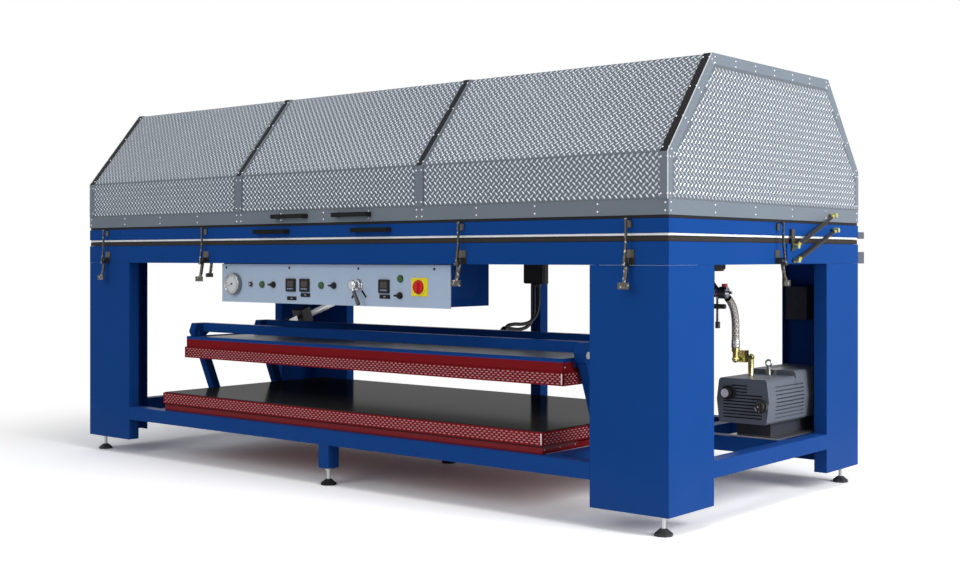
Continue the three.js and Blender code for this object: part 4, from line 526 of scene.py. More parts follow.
def smooth_route(points, count):
    """Points evenly spread along the centripetal Catmull-Rom curve through the given ones."""
    ends = np.concatenate((2 * points[:1] - points[1:2], points, 2 * points[-1:] - points[-2:-1]))
    knots = np.concatenate(([0.0], np.cumsum(np.linalg.norm(np.diff(ends, axis=0), axis=1) ** 0.5)))
    t = np.linspace(knots[1], knots[-2], 40 * len(points))
    i = np.clip(np.searchsorted(knots, t, side="right") - 1, 1, len(ends) - 3)

    def lerp(a, b, ta, tb):
        return a + (b - a) * ((t - ta) / (tb - ta))[:, None]

    k = [knots[i + offset] for offset in (-1, 0, 1, 2)]
    p = [ends[i + offset] for offset in (-1, 0, 1, 2)]
    first = [lerp(p[n], p[n + 1], k[n], k[n + 1]) for n in range(3)]
    second = [lerp(first[n], first[n + 1], k[n], k[n + 2]) for n in range(2)]
    curve = lerp(second[0], second[1], k[1], k[2])
    run = run_along(curve)
    wanted = np.linspace(0.0, run[-1], count)
    return np.stack([np.interp(wanted, run, curve[:, axis]) for axis in range(3)], -1)


def length_of(route):
    """A route's length: the sum of its steps."""
    return float(np.linalg.norm(np.diff(route, axis=0), axis=1).sum())


def machine(points):
    """Points in the source's millimetres as metres in the row frame."""
    return np.asarray(points, float) * MM + np.array((0.0, SHIFT_Y, 0.0))


class PRESS_OT_camera(bpy.types.Operator):
    """Stands the camera where the photograph was taken from"""

    bl_idname = "press.camera"
    bl_label = "Camera"

    def execute(self, context):
        stage = context.scene.press_stage
        data = bpy.data.cameras.new("photo_view")
        data.lens = stage.lens
        data.sensor_width = 36.0
        data.shift_y = stage.shift
        camera = bpy.data.objects.new("photo_view", data)
        camera.location = CAMERA_PLACE
        camera.rotation_euler = (math.pi / 2, 0.0, stage.turn)
        context.scene.collection.objects.link(camera)
        context.scene.camera = camera
        return {"FINISHED"}


class PRESS_OT_hoses(bpy.types.Operator):
    """Makes the braided vacuum hose and the two ribbed conduits"""

    bl_idname = "press.hoses"
    bl_label = "Hoses"

    def execute(self, context):
        route = smooth_route(machine(HOSE_ROUTE), 60)
        self.cord("braided_hose", "vacuum_hose", route, 15 * MM, 32, self.braid(), 30 * MM, "stiff")
        ribbed = even("conduit_plastic", Paint.moulded, colours().black, 0.5)
        for name, points in zip(("left", "right"), CONDUIT_ROUTES):
            route = smooth_route(machine(points), 220)
            # The ribs are a cosine along the conduit, 7 mm from one to the next
            ribs = np.cos(np.linspace(0, length_of(route) / (7 * MM) * 2 * np.pi, len(route)))
            self.cord(f"conduit_{name}", "platen_conduit", route, 8.3 * MM + 0.7 * MM * ribs, 16, ribbed, 18 * MM,
                      "medium")
        self.glands()
        self.ferrule()
        return {"FINISHED"}

    def cord(self, name, node, route, radius, sides, material, diameter, stiffness):
        """A tube along a route, which stands for a CAD node and goes into the object at both ends."""
        vertices, faces, uv = tube(route, radius, sides)
        cord = piece(name, vertices, faces, material, "stand", True, uv)
        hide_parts(node)

    def glands(self):
        """A round nut with a domed cap at each end of both conduits, turned about the vertical."""
        nut = turned([(0.4, 16), (12.4, 16), (12.8, 14), (12.8, 5), (12.2, 3), (11.2, 1), (9.6, 0), (0.4, 0)][::-1], 12)
        tops = machine([(x, y, z + 0.4) for (x, y, z), *_ in CONDUIT_ROUTES])
        ends = machine([(x, y, z + 1.2) for *_, (x, y, z) in CONDUIT_ROUTES])
        glands = piece("conduit_glands", *placed(nut, (tops, UP, ACROSS), (ends, -UP, ACROSS)),
                       even("gland_plastic", Paint.moulded, colours().black, 0.4), "stand")
        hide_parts("platen_conduit")

    def ferrule(self):
        """The pressed metal sleeve at the foot of the braided hose."""
        sleeve = turned([(15.2, 0), (16.6, 0.6), (16.6, 8), (15.9, 9), (16.6, 10), (16.6, 22), (15.9, 23), (16.4, 24),
                         (16.4, 30), (15.2, 31)], 28)
        place = machine(HOSE_ROUTE[:1]) + UP * MM
        piece("hose_ferrule", *placed(sleeve, (place, UP, ACROSS)),
              even("ferrule_steel", Paint.bare, colours().steel, 0.26), "stand", True)

    def braid(self):
        """Crossed wires: two sets of diagonal waves on the hose's own uv, the higher one showing."""
        paint = Paint("braided_wire")
        u, v, _ = paint.parts(paint.node("ShaderNodeTexCoord", output="UV"))
        right = ((u * 7 + v * 52) * 2 * math.pi).wave()
        left = ((u * 7 - v * 52) * 2 * math.pi).wave()
        over = right | left
        shade = paint.tint(over * 0.5 + 0.5, (0.045, 0.042, 0.04), (0.50, 0.48, 0.45))
        shade = paint.tint(paint.noise(60.0, 3.0) * 0.5, shade, (0.26, 0.24, 0.21))
        return paint.show(Finish(shade, 0.42 - over * 0.08, over * 0.3 + 0.6, over * 4e-4))


class PRESS_OT_finishes(bpy.types.Operator):
    """Paints the CAD nodes, each area of a node by its place"""

    bl_idname = "press.finishes"
    bl_label = "Finishes"

    def execute(self, context):
        self.stand()
        self.bed_and_lid()
        self.hood()
        self.oven()
        self.cylinder()
        self.controls()
        self.vacuum()
        self.hardware()
        soften(1.6 * MM, "base_frame", "end_frame_left", "end_frame_right", "bed_frame", "membrane_frame",
               "hood_skirt", "front_swing_frame", "rear_swing_frame", "upper_platen", "lower_platen", "control_box",
               "pump_housing", "junction_box")
        return {"FINISHED"}

    def foot(self, paint):
        """A levelling foot: a plated stem on a rubber pad."""
        stem = paint.bare(colours().steel, 0.4)
        return paint.layered(stem, (paint.z < 24.5 * MM, paint.moulded(colours().rubber, 0.6)))

    def stand(self):
        """Blue powder coat, the starter box on the right rear column, and the feet."""
        c = colours()
        dress(even("blue_powder_coat", Paint.powder, c.blue, gloss=POWDER_GLOSS), "end_frame_left", "control_box",
              "front_swing_frame", "rear_swing_frame")
        paint = Paint("blue_column_and_starter_box")
        starter = paint.box(x=(1351.6, 1450.4), y=(674, 736.8), z=(671.6, 814.4))
        whole = paint.layered(paint.powder(c.blue), (starter, paint.moulded(STARTER_GREY, 0.5)))
        dress(paint.show(whole, gloss=POWDER_GLOSS), "end_frame_right")
        paint = Paint("blue_frame_and_feet")
        pins = (abs(paint.x) > 1158.5 * MM) & (paint.z > 228 * MM) & (paint.z < 330 * MM)
        whole = paint.layered(paint.powder(c.blue), (paint.z < 70.6 * MM, self.foot(paint)),
                              (pins, paint.bare(c.steel, 0.4)))
        dress(paint.show(whole, gloss=POWDER_GLOSS), "base_frame")
        paint = Paint("levelling_feet")
        dress(paint.show(self.foot(paint)), "foot_front_left", "foot_front_right", "foot_rear_left", "foot_rear_right")

    def bed_and_lid(self):
        """Blue frames, with what is fitted on their front and sides plated, and the rear hinges and studs dull."""
        c = colours()
        paint = Paint("bed_frame_paint")
        plated, bars = paint.bare(c.latch, 0.38), paint.bare(c.hinge, 0.45)
        at_side = (abs(paint.x) > PAST_END) & (paint.y < 60 * MM)
        latches = ((paint.y < PAST_FRONT) | at_side) & (paint.z < 968 * MM)
        studs = (abs(paint.x) > PAST_END + 5.4 * MM) & (paint.y > 60 * MM)
        whole = paint.layered(paint.powder(c.blue), (latches, plated), (paint.y > PAST_REAR, bars), (studs, bars))
        dress(paint.show(whole, gloss=POWDER_GLOSS), "bed_frame")
        paint = Paint("membrane_frame_paint")
        fitted = (paint.y < PAST_FRONT) | (abs(paint.x) > PAST_END)
        handles = fitted & (abs(paint.x) < 0.45)
        whole = paint.layered(paint.powder(c.blue), (fitted, paint.bare(c.latch, 0.38)),
                              (handles, paint.moulded(c.black)), (paint.y > PAST_REAR, paint.bare(c.hinge, 0.45)))
        dress(paint.show(whole, gloss=POWDER_GLOSS), "membrane_frame")
        dress(even("bed_seal_rubber", Paint.moulded, SEAL_BROWN, 0.65, gloss=SEAL_GLOSS), "bed_seal")

    def hood(self):
        """Grey skirt and trim over tread plate painted dark between its bars as shade, black ribs, and bright edges on
        the end panels.
        """
        c = colours()
        paint = Paint("hood_skirt_paint")
        handles = paint.y < PAST_FRONT
        hinge = (paint.y > PAST_REAR) | (abs(paint.x) > PAST_END)
        whole = paint.layered(paint.powder(c.grey, 0.42), (handles, paint.moulded(c.black)),
                              (hinge, paint.bare(c.hinge, 0.45)),
                              ((paint.z < SKIRT_SEAL_TOP) * (1 - hinge), paint.moulded(c.rubber, 0.65)))
        dress(paint.show(whole, gloss=PAINT_GLOSS), "hood_skirt")
        dress(tread_plate("tread_plate"), "hood_panel_left", "hood_panel_right")
        paint = Paint("tread_plate_with_ribs")
        edge = RIB_EDGE + 0.2 * MM
        rib = abs(paint.x).between(RIB - edge, RIB + edge)
        strip = (paint.z > CREASE) & abs(paint.x).between(RIB - RIB_STRIP, RIB + RIB_STRIP)
        post = paint.layered(paint.powder(c.grey, 0.42), (strip, paint.moulded(c.black, 0.5)))
        dress(paint.show(paint.layered(paint.plate(), (rib, post)), gloss=TRIM_GLOSS), "hood_panel_middle")
        paint = Paint("end_plate_and_trim")
        depth = self.outline_depth(paint)
        recess = abs(paint.x).between(HALF_LENGTH - 3.6 * MM, HALF_LENGTH - 1.5 * MM) & (depth > 20 * MM)
        wrap = (abs(paint.x) < HALF_LENGTH - 3.5 * MM) & (paint.z > CREASE)
        corner = abs(paint.x).between(HALF_LENGTH - 4.5 * MM, HALF_LENGTH - 0.2 * MM) & (depth < 1.2 * MM)
        whole = paint.layered(paint.powder(c.grey, 0.42), (wrap, paint.moulded(c.black, 0.5)),
                              (recess, paint.plate()), (corner, paint.bare((0.86, 0.88, 0.90), 0.3, metallic=0.4)))
        dress(paint.show(whole, gloss=TRIM_GLOSS), "hood_end_left", "hood_end_right")

    def outline_depth(self, paint):
        """How far a point lies inside the hood's outline: the least of its distances to the five planes."""
        height = (paint.z - CREASE) * (RUN / SLANT)
        from_front = (paint.y - FRONT) * (RISE / SLANT) - height
        from_rear = (REAR - paint.y) * (RISE / SLANT) - height
        straight = (paint.y - FRONT) & (REAR - paint.y) & (SIDE_HIGH[2] - paint.z)
        return straight & from_front & from_rear

    def oven(self):
        """Red platens: the lower one with a dark glazed top and a dark band painted as the shadow under its guard, the
        upper one blue above its edge.
        """
        c = colours()
        paint = Paint("lower_platen_paint")
        streaks = paint.noise(2.0, 5.0, 0.6, paint.stretched(1.0, 6.0, 1.0))
        glaze = Finish(paint.tint(streaks, (0.020, 0.022, 0.021), (0.036, 0.039, 0.037)), streaks * 0.12 + 0.24,
                       0.0, paint.noise(300.0) * 1e-5)
        # A dark red band round the tray at the lower edge of the guard: painted shadow
        painted_shadow_band = Finish((0.05, 0.004, 0.005), 0.6)
        whole = paint.layered(paint.powder(c.red, 0.4), (paint.box(z=(251, 260)), painted_shadow_band), (paint.z > 305 * MM, glaze))
        dress(paint.show(whole, 0.18, 0.0), "lower_platen")
        paint = Paint("upper_platen_paint")
        low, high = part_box("upper_platen")
        steel = paint.bare(c.steel, 0.35, (6.0, 60.0, 60.0), 0.6)
        edge = (paint.z > 551 * MM) | (abs(paint.x) > 1100.4 * MM)
        middle, half = (low[1] + high[1]) / 2, (high[1] - low[1]) / 2
        inside = (abs(paint.x) < 1091.8 * MM) & (abs(paint.y - middle) < half - 8.2 * MM)
        pins = abs(paint.x) > 1106.4 * MM
        whole = paint.layered(paint.powder(c.red, 0.4), (edge, paint.powder(c.blue)),
                              (paint.box(z=(557, 561)) & inside, steel), (pins, steel))
        dress(paint.show(whole, gloss=POWDER_GLOSS), "upper_platen")

    def cylinder(self):
        """The barrel's caps and fittings lie at known distances along the line between the two pivots."""
        c = colours()
        paint = Paint("air_cylinder")
        moving, fixed = machine([(-1030, -8, 612), (-1030, 690, 846)])
        length = float(np.linalg.norm(fixed - moving))
        _, ay, az = ((fixed - moving) / length).tolist()
        x, y, z = (value - start for value, start in zip((paint.x, paint.y, paint.z), moving.tolist()))
        along = y * ay + z * az
        aside = z * ay - y * az
        caps = (along < 128 * MM) | (along > length - 122.5 * MM)
        brass = (abs(aside) > 37.3 * MM) | (abs(x) > 37.3 * MM)
        whole = paint.layered(paint.bare((0.62, 0.63, 0.64), 0.24), (caps, paint.moulded(c.black, 0.4)),
                              (brass, paint.bare(c.brass, 0.25)))
        dress(paint.show(whole), "cylinder_barrel")
        dress(even("cylinder_rod_chrome", Paint.bare, (0.6, 0.6, 0.61), 0.18), "cylinder_rod")

    def controls(self):
        """The panel's paint with its black fittings and yellow isolator plate, and the small moulded controls."""
        c = colours()
        paint = Paint("control_panel_paint")
        plate = paint.box(x=(473, 557), z=(786.5, 859.5))
        fittings = paint.layered(paint.moulded(c.black, 0.4), (plate, paint.moulded(c.yellow, 0.4)))
        whole = paint.layered(paint.powder(c.panel, 0.4), (paint.y < PANEL_FACE - 0.5 * MM, fittings),
                              (paint.y > PANEL_FACE + 4.4 * MM, paint.powder(c.blue)))
        dress(paint.show(whole, gloss=PAINT_GLOSS), "control_panel")
        dress(even("black_moulding", Paint.moulded, c.black, 0.34, gloss=0.2), "junction_box")
        paint = Paint("button_and_cap")
        centre = (distance(paint.x, paint.z, metres(BUTTON)) < 4.2 * MM) & (paint.y < PANEL_FACE - 9 * MM)
        whole = paint.layered(paint.moulded(c.black), (centre, paint.moulded((0.55, 0.56, 0.58), 0.4)))
        dress(paint.show(whole), "push_button")
        paint = Paint("pump_knob_moulding")
        middle = metres(PUMP_KNOB)
        off_axis = distance(paint.x, paint.z, middle)
        turn = (paint.z - middle[1]).angle(paint.x - middle[0])
        arc = off_axis.between(14.5 * MM, 26 * MM) & turn.between(-2.9, -1.85)
        whole = paint.layered(paint.moulded(c.black), ((off_axis < 3.2 * MM) | arc, paint.pale()))
        dress(paint.show(whole), "pump_knob")

    def vacuum(self):
        """The pump with its cooling grooves painted nearly black as shade, pedestal, eye and elbow, and the manifold
        with its drain and vent.
        """
        c = colours()
        paint = Paint("pump_paint")
        steel = paint.bare((0.30, 0.31, 0.32), 0.42)
        # Dark lines across the pump's front, 12.5 mm apart: painted shade in its cooling grooves
        step = ((paint.z - 308 * MM) / (12.5 * MM)).fraction()
        ribbed = paint.box(z=(407, 439), x=(1408, 1474)) | paint.box(z=(307, 402), x=(1370, 1538))
        groove_shade = (step < 0.42) & (paint.y < PUMP_FRONT + 14 * MM) & ribbed
        eye_x, elbow_x, behind = 1450 * MM, 1400 * MM, 300 * MM
        eye = (paint.z > 464 * MM) & (abs(paint.x - eye_x) < 24 * MM) & (paint.y > behind)
        elbow = (paint.z > 463.6 * MM) & (abs(paint.x - elbow_x) < 20 * MM) & (paint.y < behind)
        off_axis = distance(paint.x, paint.z, metres(FILLER_CAP))
        cap = (off_axis < 28.5 * MM) & (paint.y < PUMP_FRONT - HAIR)
        disc = (off_axis < 17 * MM) & (paint.y < PUMP_FRONT - 41 * MM)
        whole = paint.layered(
            paint.powder(c.pump, 0.46), (groove_shade, Finish((0.016, 0.018, 0.026), 0.7)),
            (paint.box(z=(233.4, 287)), Finish((0.045, 0.048, 0.062), 0.6)), (paint.z < 233.6 * MM, steel),
            (eye, steel), (elbow, paint.bare(c.brass, 0.22)), (cap, paint.moulded(c.black, 0.4)), (disc, paint.pale()))
        dress(paint.show(whole, gloss=0.12), "pump_housing")
        paint = Paint("manifold")
        y, z = MANIFOLD
        drain_x, tap_z, vent_x = 1372 * MM, 746 * MM, 1403 * MM
        beside_block = (paint.x < 1382.8 * MM) | (paint.x > 1413.2 * MM)
        pipe = (distance(paint.y, paint.z, MANIFOLD) < 20.4 * MM) & beside_block
        drain = paint.box(z=(686.2, 781)) & (abs(paint.x - drain_x) < 7.6 * MM)
        drain = drain & ((abs(paint.z - tap_z) > 10.4 * MM) | (abs(paint.y - y) > 10.4 * MM))
        vent = (abs(paint.x - vent_x) < 12.6 * MM) & (abs(paint.y - y) < 12.6 * MM)
        vent = vent & paint.z.between(z + 24.4 * MM, z + 36 * MM)
        whole = paint.layered(paint.moulded(c.black, 0.4), (pipe | drain, paint.bare((0.72, 0.73, 0.74), 0.18)),
                              (vent, paint.moulded(c.knob, 0.35)))
        dress(paint.show(whole), "vacuum_manifold")

    def hardware(self):
        """Dark latches with bright spots painted on as highlights, and black springs with brass ends round their
        pivots.
        """
        c = colours()
        paint = Paint("latch_steel")
        # Bright spots scattered by noise over the dark latch steel: painted highlights
        wear_and_glints = paint.ramp(paint.noise(85.0, 2.0), (0.58, 0.0), (0.63, 1.0))
        whole = paint.layered(paint.bare(c.latch, 0.4), (wear_and_glints, paint.bare((0.46, 0.47, 0.48), 0.3)))
        dress(paint.show(whole, gloss=0.2), *[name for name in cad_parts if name.startswith("latch_")])
        for kind, low, high in (("lid", (141, 927), (489, 1047)), ("hood", (136, 981), (470, 1106))):
            for part, pivot in (("barrel", low), ("rod", high)):
                paint = Paint(f"{kind}_spring_{part}")
                _, y, z = machine((0, *pivot)).tolist()
                brass = paint.bare(c.brass, 0.26)
                ends = distance(paint.y, paint.z, (y, z)) < 25 * MM
                dress(paint.show(paint.layered(paint.moulded(c.black, 0.36), (ends, brass)), gloss=0.14),
                      f"{kind}_spring_left_{part}", f"{kind}_spring_right_{part}")


def rounded(width, height, corner, steps=4):
    """A rectangle's outline whose corners are quarter circles: corner centre + corner (cos t, sin t)."""
    turn = np.linspace(0, np.pi / 2, steps)
    quarter = np.stack((np.cos(turn), np.sin(turn)), -1)
    turns = [np.array(m) for m in (((1, 0), (0, 1)), ((0, -1), (1, 0)), ((-1, 0), (0, -1)), ((0, 1), (-1, 0)))]
    signs = np.array(((1, 1), (-1, 1), (-1, -1), (1, -1)))
    centres = signs * (np.array((width, height)) / 2 - corner)
    return np.concatenate([c + corner * quarter @ m.T for c, m in zip(centres, turns)])


def stacked(width, height, corner, least, levels):
    """A rounded rectangle's outline at each (inset, height) level, drawn in by the inset: one ring for each."""
    rings = []
    for inset, level in levels:
        flat = rounded(width - 2 * inset, height - 2 * inset, max(corner - inset, least))
        rings.append(np.column_stack((flat, np.full(len(flat), level))))
    return rings


def slab(width, height, corner, start, rise, edge=0.8):
    """A plate with rounded corners and an eased edge, in millimetres: its outline at four heights, each ring a
    little smaller, the last one closed to a point in the middle."""
    levels = ((0, start), (0, rise - edge), (edge * 0.3, rise - edge * 0.3), (edge, rise))
    rings = stacked(width, height, corner, 0.2, levels)
    rings.append(rings[-1] * np.array((0.001, 0.001, 1.0)))
    return np.concatenate(rings) * MM, grid_faces(len(rings), len(rings[0]), True)


def ring_slab(width, height, corner, start, rise, border):
    """A picture frame with rounded corners: the outline goes up, over the rim and down the inner side."""
    levels = ((0, start), (0, rise - 1), (1, rise), (border - 1, rise), (border, rise - 1), (border, start))
    rings = stacked(width, height, corner, 0.4, levels)
    return np.concatenate(rings) * MM, grid_faces(len(rings), len(rings[0]), True)


class PRESS_OT_instruments(bpy.types.Operator):
    """Makes the gauge, the lamp lenses, the controllers' faces, the valve with its lever, the selectors and the
    isolator's knob and collar on the control panel"""

    bl_idname = "press.instruments"
    bl_label = "Instruments"

    def execute(self, context):
        c = colours()
        self.gauge()
        paint = Paint("lamp_lens")
        ripple = paint.noise(160.0, 2.0)
        lens = Finish(paint.tint(ripple, c.green, shaded(c.green, 1.7, 0.01)), ripple * 0.1 + 0.12, 0.0, ripple * 1e-4)
        dome = turned([(15.2, 0.2), (15.2, 3.2), (14.2, 4.2), (13.6, 6.4), (12.0, 9.4), (8.6, 11.4), (4.4, 12.4),
                       (0.02, 12.7)], 28)
        piece("lamp_lenses", *on_panel(LAMPS, dome), paint.show(lens, 0.12, 0.25), "stand", True)
        self.controllers()
        self.valve()
        self.knobs()
        collar = turned([(33.5, 3.1), (33.5, 7.6), (32.2, 9.4), (28.6, 9.4), (27.4, 8.2), (27.4, 3.1)], 40)
        piece("isolator_collar", *on_panel([ISOLATOR], collar),
              even("isolator_collar", Paint.moulded, c.yellow, 0.36, coat=0.2), "stand", True)
        return {"FINISHED"}

    def knobs(self):
        """The three selectors, a round foot with a pointer over it, and the isolator's disc with its low grip."""
        black = even("selector_moulding", Paint.moulded, colours().black, 0.34, gloss=0.14)
        foot = turned([(13.4, 0.4), (14, 1.0), (14, 4.2), (13.2, 5.2), (10.4, 5.6), (9.8, 7), (9.4, 14), (8.4, 15.4),
                       (0.02, 15.8)], 40)
        pointer, quads = slab(33, 8.6, 4.1, 5.0, 20.2, 2.0)
        pointer = pointer - ACROSS * 3 * MM
        for name, place in SELECTORS.items():
            mesh = merged(on_panel([place], foot), on_panel([place], (pointer, quads)))
            knob = piece(f"selector_knob_{name}", *mesh, black, f"selector_{name}")
            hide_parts(f"selector_{name}")
        disc = turned([(25.8, 3.5), (25.8, 12), (25.2, 14.6), (23.6, 16.4), (21, 17), (15, 16.4), (0.02, 16.2)], 48)
        grip = slab(15, 46, 6.5, 15.8, 27, 2.6)
        knob = piece("isolator_disc", *merged(on_panel([ISOLATOR], disc), on_panel([ISOLATOR], grip)),
                     even("red_moulding", Paint.moulded, colours().knob, 0.32, coat=0.05, gloss=0.2), "isolator_knob")
        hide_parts("isolator_knob")

    def gauge(self):
        """A chrome case turned about the dial's axis, a pale dial, ticks at even angles and a pointer."""
        rim = turned([(30, 0.4), (47, 0.4), (48, 1.6), (48, 19.5), (47.4, 23.2), (45.6, 25.6), (43.4, 25.9),
                      (41.4, 24.6), (40.6, 22.2), (40.4, 19.4), (38, 19.4)], 64)
        chrome = even("gauge_chrome", Paint.bare, (0.36, 0.37, 0.36), 0.16, (200.0, 200.0, 20.0))
        case = piece("gauge_case", *on_panel([GAUGE], rim), chrome, "stand", True)
        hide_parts("vacuum_gauge")
        paint = Paint("gauge_dial")
        haze = paint.noise(60.0, 3.0)
        outer = paint.ramp(distance(paint.x, paint.z, metres(GAUGE)) * 20, (0.50, 0.0), (0.78, 1.0))
        pale = paint.tint(haze * 0.3, (0.66, 0.69, 0.74), (0.56, 0.59, 0.65))
        shade = paint.tint(outer * 0.5, pale, (0.36, 0.38, 0.43))
        face = turned([(40.9, 19.0), (40.9, 20.0), (40.2, 20.2), (0.02, 20.2)], 64)
        dial = piece("gauge_dial", *on_panel([GAUGE], face),
                     paint.show(Finish(shade, haze * 0.1 + 0.28, 0.0, haze * 1e-6), 0.8), "stand")
        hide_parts("vacuum_gauge")
        turns = np.linspace(-0.75, 0.75, 31) * np.pi
        numbered = np.arange(len(turns)) % 5 == 0
        spans, widths = np.where(numbered, 7.0, 4.0), np.where(numbered, 1.3, 0.7)
        pointer = (-0.62 * np.pi, 40.0, 1.9, 11.0)
        lines = [self.line(*line) for line in (*zip(turns, spans, widths, 37.0 - spans / 2), pointer)]
        hub = on_panel([GAUGE], turned([(4.2, 20.1), (4.2, 22.4), (3.4, 23.2), (0.02, 23.4)], 20))
        marks = piece("gauge_marks", *merged(*lines, hub), even("gauge_ink", Paint.moulded, colours().black, 0.4),
                      "stand")
        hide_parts("vacuum_gauge")

    def line(self, turn, span, width, middle):
        """A bar of the dial, laid along the radius at this angle from the top, its middle this far out."""
        out = np.array((math.sin(turn), 0.0, math.cos(turn)))
        side = np.array((math.cos(turn), 0.0, -math.sin(turn)))
        place = np.array((GAUGE[0] * MM, PANEL_FACE, GAUGE[1] * MM)) + out * middle * MM
        columns = np.stack((side * width, out * span, OUT), -1)
        return repeated(*slab(1.0, 1.0, 0.05, 20.1, 20.7, 0.2), place[None], columns[None])

    def controllers(self):
        """Bezels, displays and key strips of the three temperature controllers, and the windows under them."""
        piece("controller_bezels", *on_panel(CONTROLLERS, ring_slab(55, 55, 3, 0.3, 10.2, 6)),
              even("controller_bezel", Paint.moulded, colours().black, 0.36, gloss=PLASTIC_GLOSS), "stand")
        paint = Paint("controller_display")
        smear = paint.noise(90.0, 3.0)
        glass = Finish(paint.tint(smear, (0.040, 0.034, 0.030), (0.075, 0.066, 0.058)), smear * 0.1 + 0.1, 0.0,
                       smear * 1e-6)
        displays = [(x, z + 5.5) for x, z in CONTROLLERS]
        piece("controller_displays", *on_panel(displays, slab(38, 27, 1.2, 7.9, 9.0)), paint.show(glass, 0.1, 0.2),
              "stand")
        keys = [(x + shift, z - 15.5) for x, z in CONTROLLERS for shift in (-14.4, -4.8, 4.8, 14.4)]
        piece("controller_keys", *on_panel(keys, slab(8.2, 6.4, 1.4, 7.9, 9.6)),
              even("controller_keys", Paint.moulded, (0.17, 0.23, 0.33), 0.4), "stand")
        piece("window_frames", *on_panel(WINDOWS, ring_slab(57, 16, 2, 0.2, 3.0, 3)),
              even("window_frame", Paint.moulded, colours().black, 0.3, gloss=PLASTIC_GLOSS), "stand")
        piece("window_dots", *on_panel(WINDOWS, slab(13, 5, 1.2, 1.9, 2.6, 0.3)),
              even("window_dot", Paint.moulded, (0.20, 0.18, 0.17), 0.3, coat=0.4), "stand")

    def valve(self):
        """The valve's chrome body and, turning with the lever, its chrome hub, neck and long black grip."""
        chrome = even("valve_chrome", Paint.bare, (0.50, 0.51, 0.52), 0.14, (60.0, 60.0, 60.0))
        body = turned([(24.5, 0.2), (24.5, 3.4), (23.4, 4.6), (22.6, 5.2), (22.6, 15.6), (21.4, 18.0), (19.0, 18.35),
                       (0.02, 18.35)], 48)
        piece("valve_body", *on_panel([VALVE], body), chrome, "stand", True)
        hub = turned([(0.02, 18.6), (13.4, 18.6), (14.4, 19.6), (15.2, 28), (18.4, 31.4), (20.6, 36), (20.4, 40),
                      (17.6, 44.2), (12, 47), (6, 48.2), (0.02, 48.4)], 48)
        neck = self.bar([(0.02, 10), (6.0, 10), (5.6, 20), (5.0, 26), (5.4, 31), (0.02, 31)])
        lever = piece("valve_hub", *merged(on_panel([VALVE], hub), neck), chrome, "valve_lever", True)
        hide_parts("valve_lever")
        grip = self.bar([(0.02, 27), (6.2, 27.4), (7.2, 29), (7.4, 40), (7.8, 60), (8.4, 80), (8.2, 86), (6.4, 89.4),
                         (3.0, 90.8), (0.02, 91)])
        handle = piece("valve_grip", *grip, even("grip_moulding", Paint.moulded, colours().black, 0.3, coat=0.3),
                       "valve_lever", True)
        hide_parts("valve_lever")

    def bar(self, profile):
        """A round bar turned about the lever's own line, along which the profile's heights run."""
        along = np.array((math.sin(LEVER_TURN), 0.0, -math.cos(LEVER_TURN)))
        start = np.array((VALVE[0] * MM, PANEL_FACE - 41 * MM, VALVE[1] * MM))
        return placed(turned(profile, 24), (start[None], along, OUT))


def hoop(low, high, width):
    """A rounded section swept round the rectangle between two corners of a box, its corners mitred."""
    low, high = np.asarray(low, float), np.asarray(high, float)
    section = np.array([(0, 0.2), (0, 0.8), (0.02, 0.95), (0.08, 1), (1, 1), (1, 0), (0.08, 0), (0.02, 0.05)])
    inward = section[:, 0] * width
    height = low[2] + section[:, 1] * (high[2] - low[2])
    corners = np.array([(-1, -1), (1, -1), (1, 1), (-1, 1)])
    flat = (high + low)[:2] / 2 + corners[:, None] * ((high - low)[:2] / 2 - inward[None, :, None])
    vertices = np.concatenate((flat, np.broadcast_to(height[None, :, None], (4, len(section), 1))), -1)
    return vertices.reshape(-1, 3), grid_faces(5, len(section), True) % (4 * len(section))


class PRESS_OT_membrane(bpy.types.Operator):
    """Stretches the thin silicone membrane in its frame, with the thick lip round its edge"""

    bl_idname = "press.membrane"
    bl_label = "Membrane"

    def execute(self, context):
        low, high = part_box("membrane_sheet")
        inset = 46 * MM
        paint = Paint("silicone_membrane")
        middle, half = (low[1] + high[1]) / 2, (high[1] - low[1]) / 2
        rim = (abs(paint.x) > high[0] - inset) | (abs(paint.y - middle) > half - inset)
        under = (paint.z < 1012.4 * MM) & rim
        whole = paint.layered(paint.moulded(colours().membrane, 0.45), (under, paint.moulded(SEAL_BROWN, 0.65)))
        silicone = paint.show(whole, gloss=0.3)
        x = np.linspace(low[0] + inset, high[0] - inset, 90)
        y = np.linspace(low[1] + inset, high[1] - inset, 42)
        gx, gy = np.meshgrid(x, y, indexing="ij")
        # A stretched sheet hangs a little: z = top - sag (1 - u^2)(1 - v^2), u and v from -1 to 1
        u = np.linspace(-1, 1, len(x))[:, None]
        v = np.linspace(-1, 1, len(y))[None]
        gz = high[2] - 5 * MM - 4 * MM * (1 - u ** 2) * (1 - v ** 2)
        vertices = np.stack((gx, gy, gz), -1).reshape(-1, 3)
        sheet = piece("membrane", vertices, grid_faces(len(x), len(y)), silicone, "press_lid", True)
        thicken(sheet, 1.5 * MM)
        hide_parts("membrane_sheet")
        edge = piece("membrane_edge", *hoop(low, high, inset + 2 * MM), silicone, "press_lid")
        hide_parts("membrane_sheet")
        self.seals(low, high)
        return {"FINISHED"}

    def seals(self, low, high):
        """The soft outer lips of the bed's seal and of the hood's seal, flush with the frames."""
        bed_low, bed_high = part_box("bed_seal")
        skirt_low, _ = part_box("hood_skirt")
        brown = even("bed_seal_lip", Paint.moulded, SEAL_BROWN, 0.65, gloss=SEAL_GLOSS)
        lip = hoop((*low[:2], bed_low[2] + 0.4 * MM), (*high[:2], bed_high[2] - 0.3 * MM), 10 * MM)
        piece("bed_seal_lip", *lip, brown, "stand")
        black = even("hood_seal_lip", Paint.moulded, colours().rubber, 0.65, gloss=SEAL_GLOSS)
        lip = hoop((*low[:2], skirt_low[2] + 0.2 * MM), (*high[:2], SKIRT_SEAL_TOP - 0.2 * MM), 9 * MM)
        piece("hood_seal_lip", *lip, black, "hood")


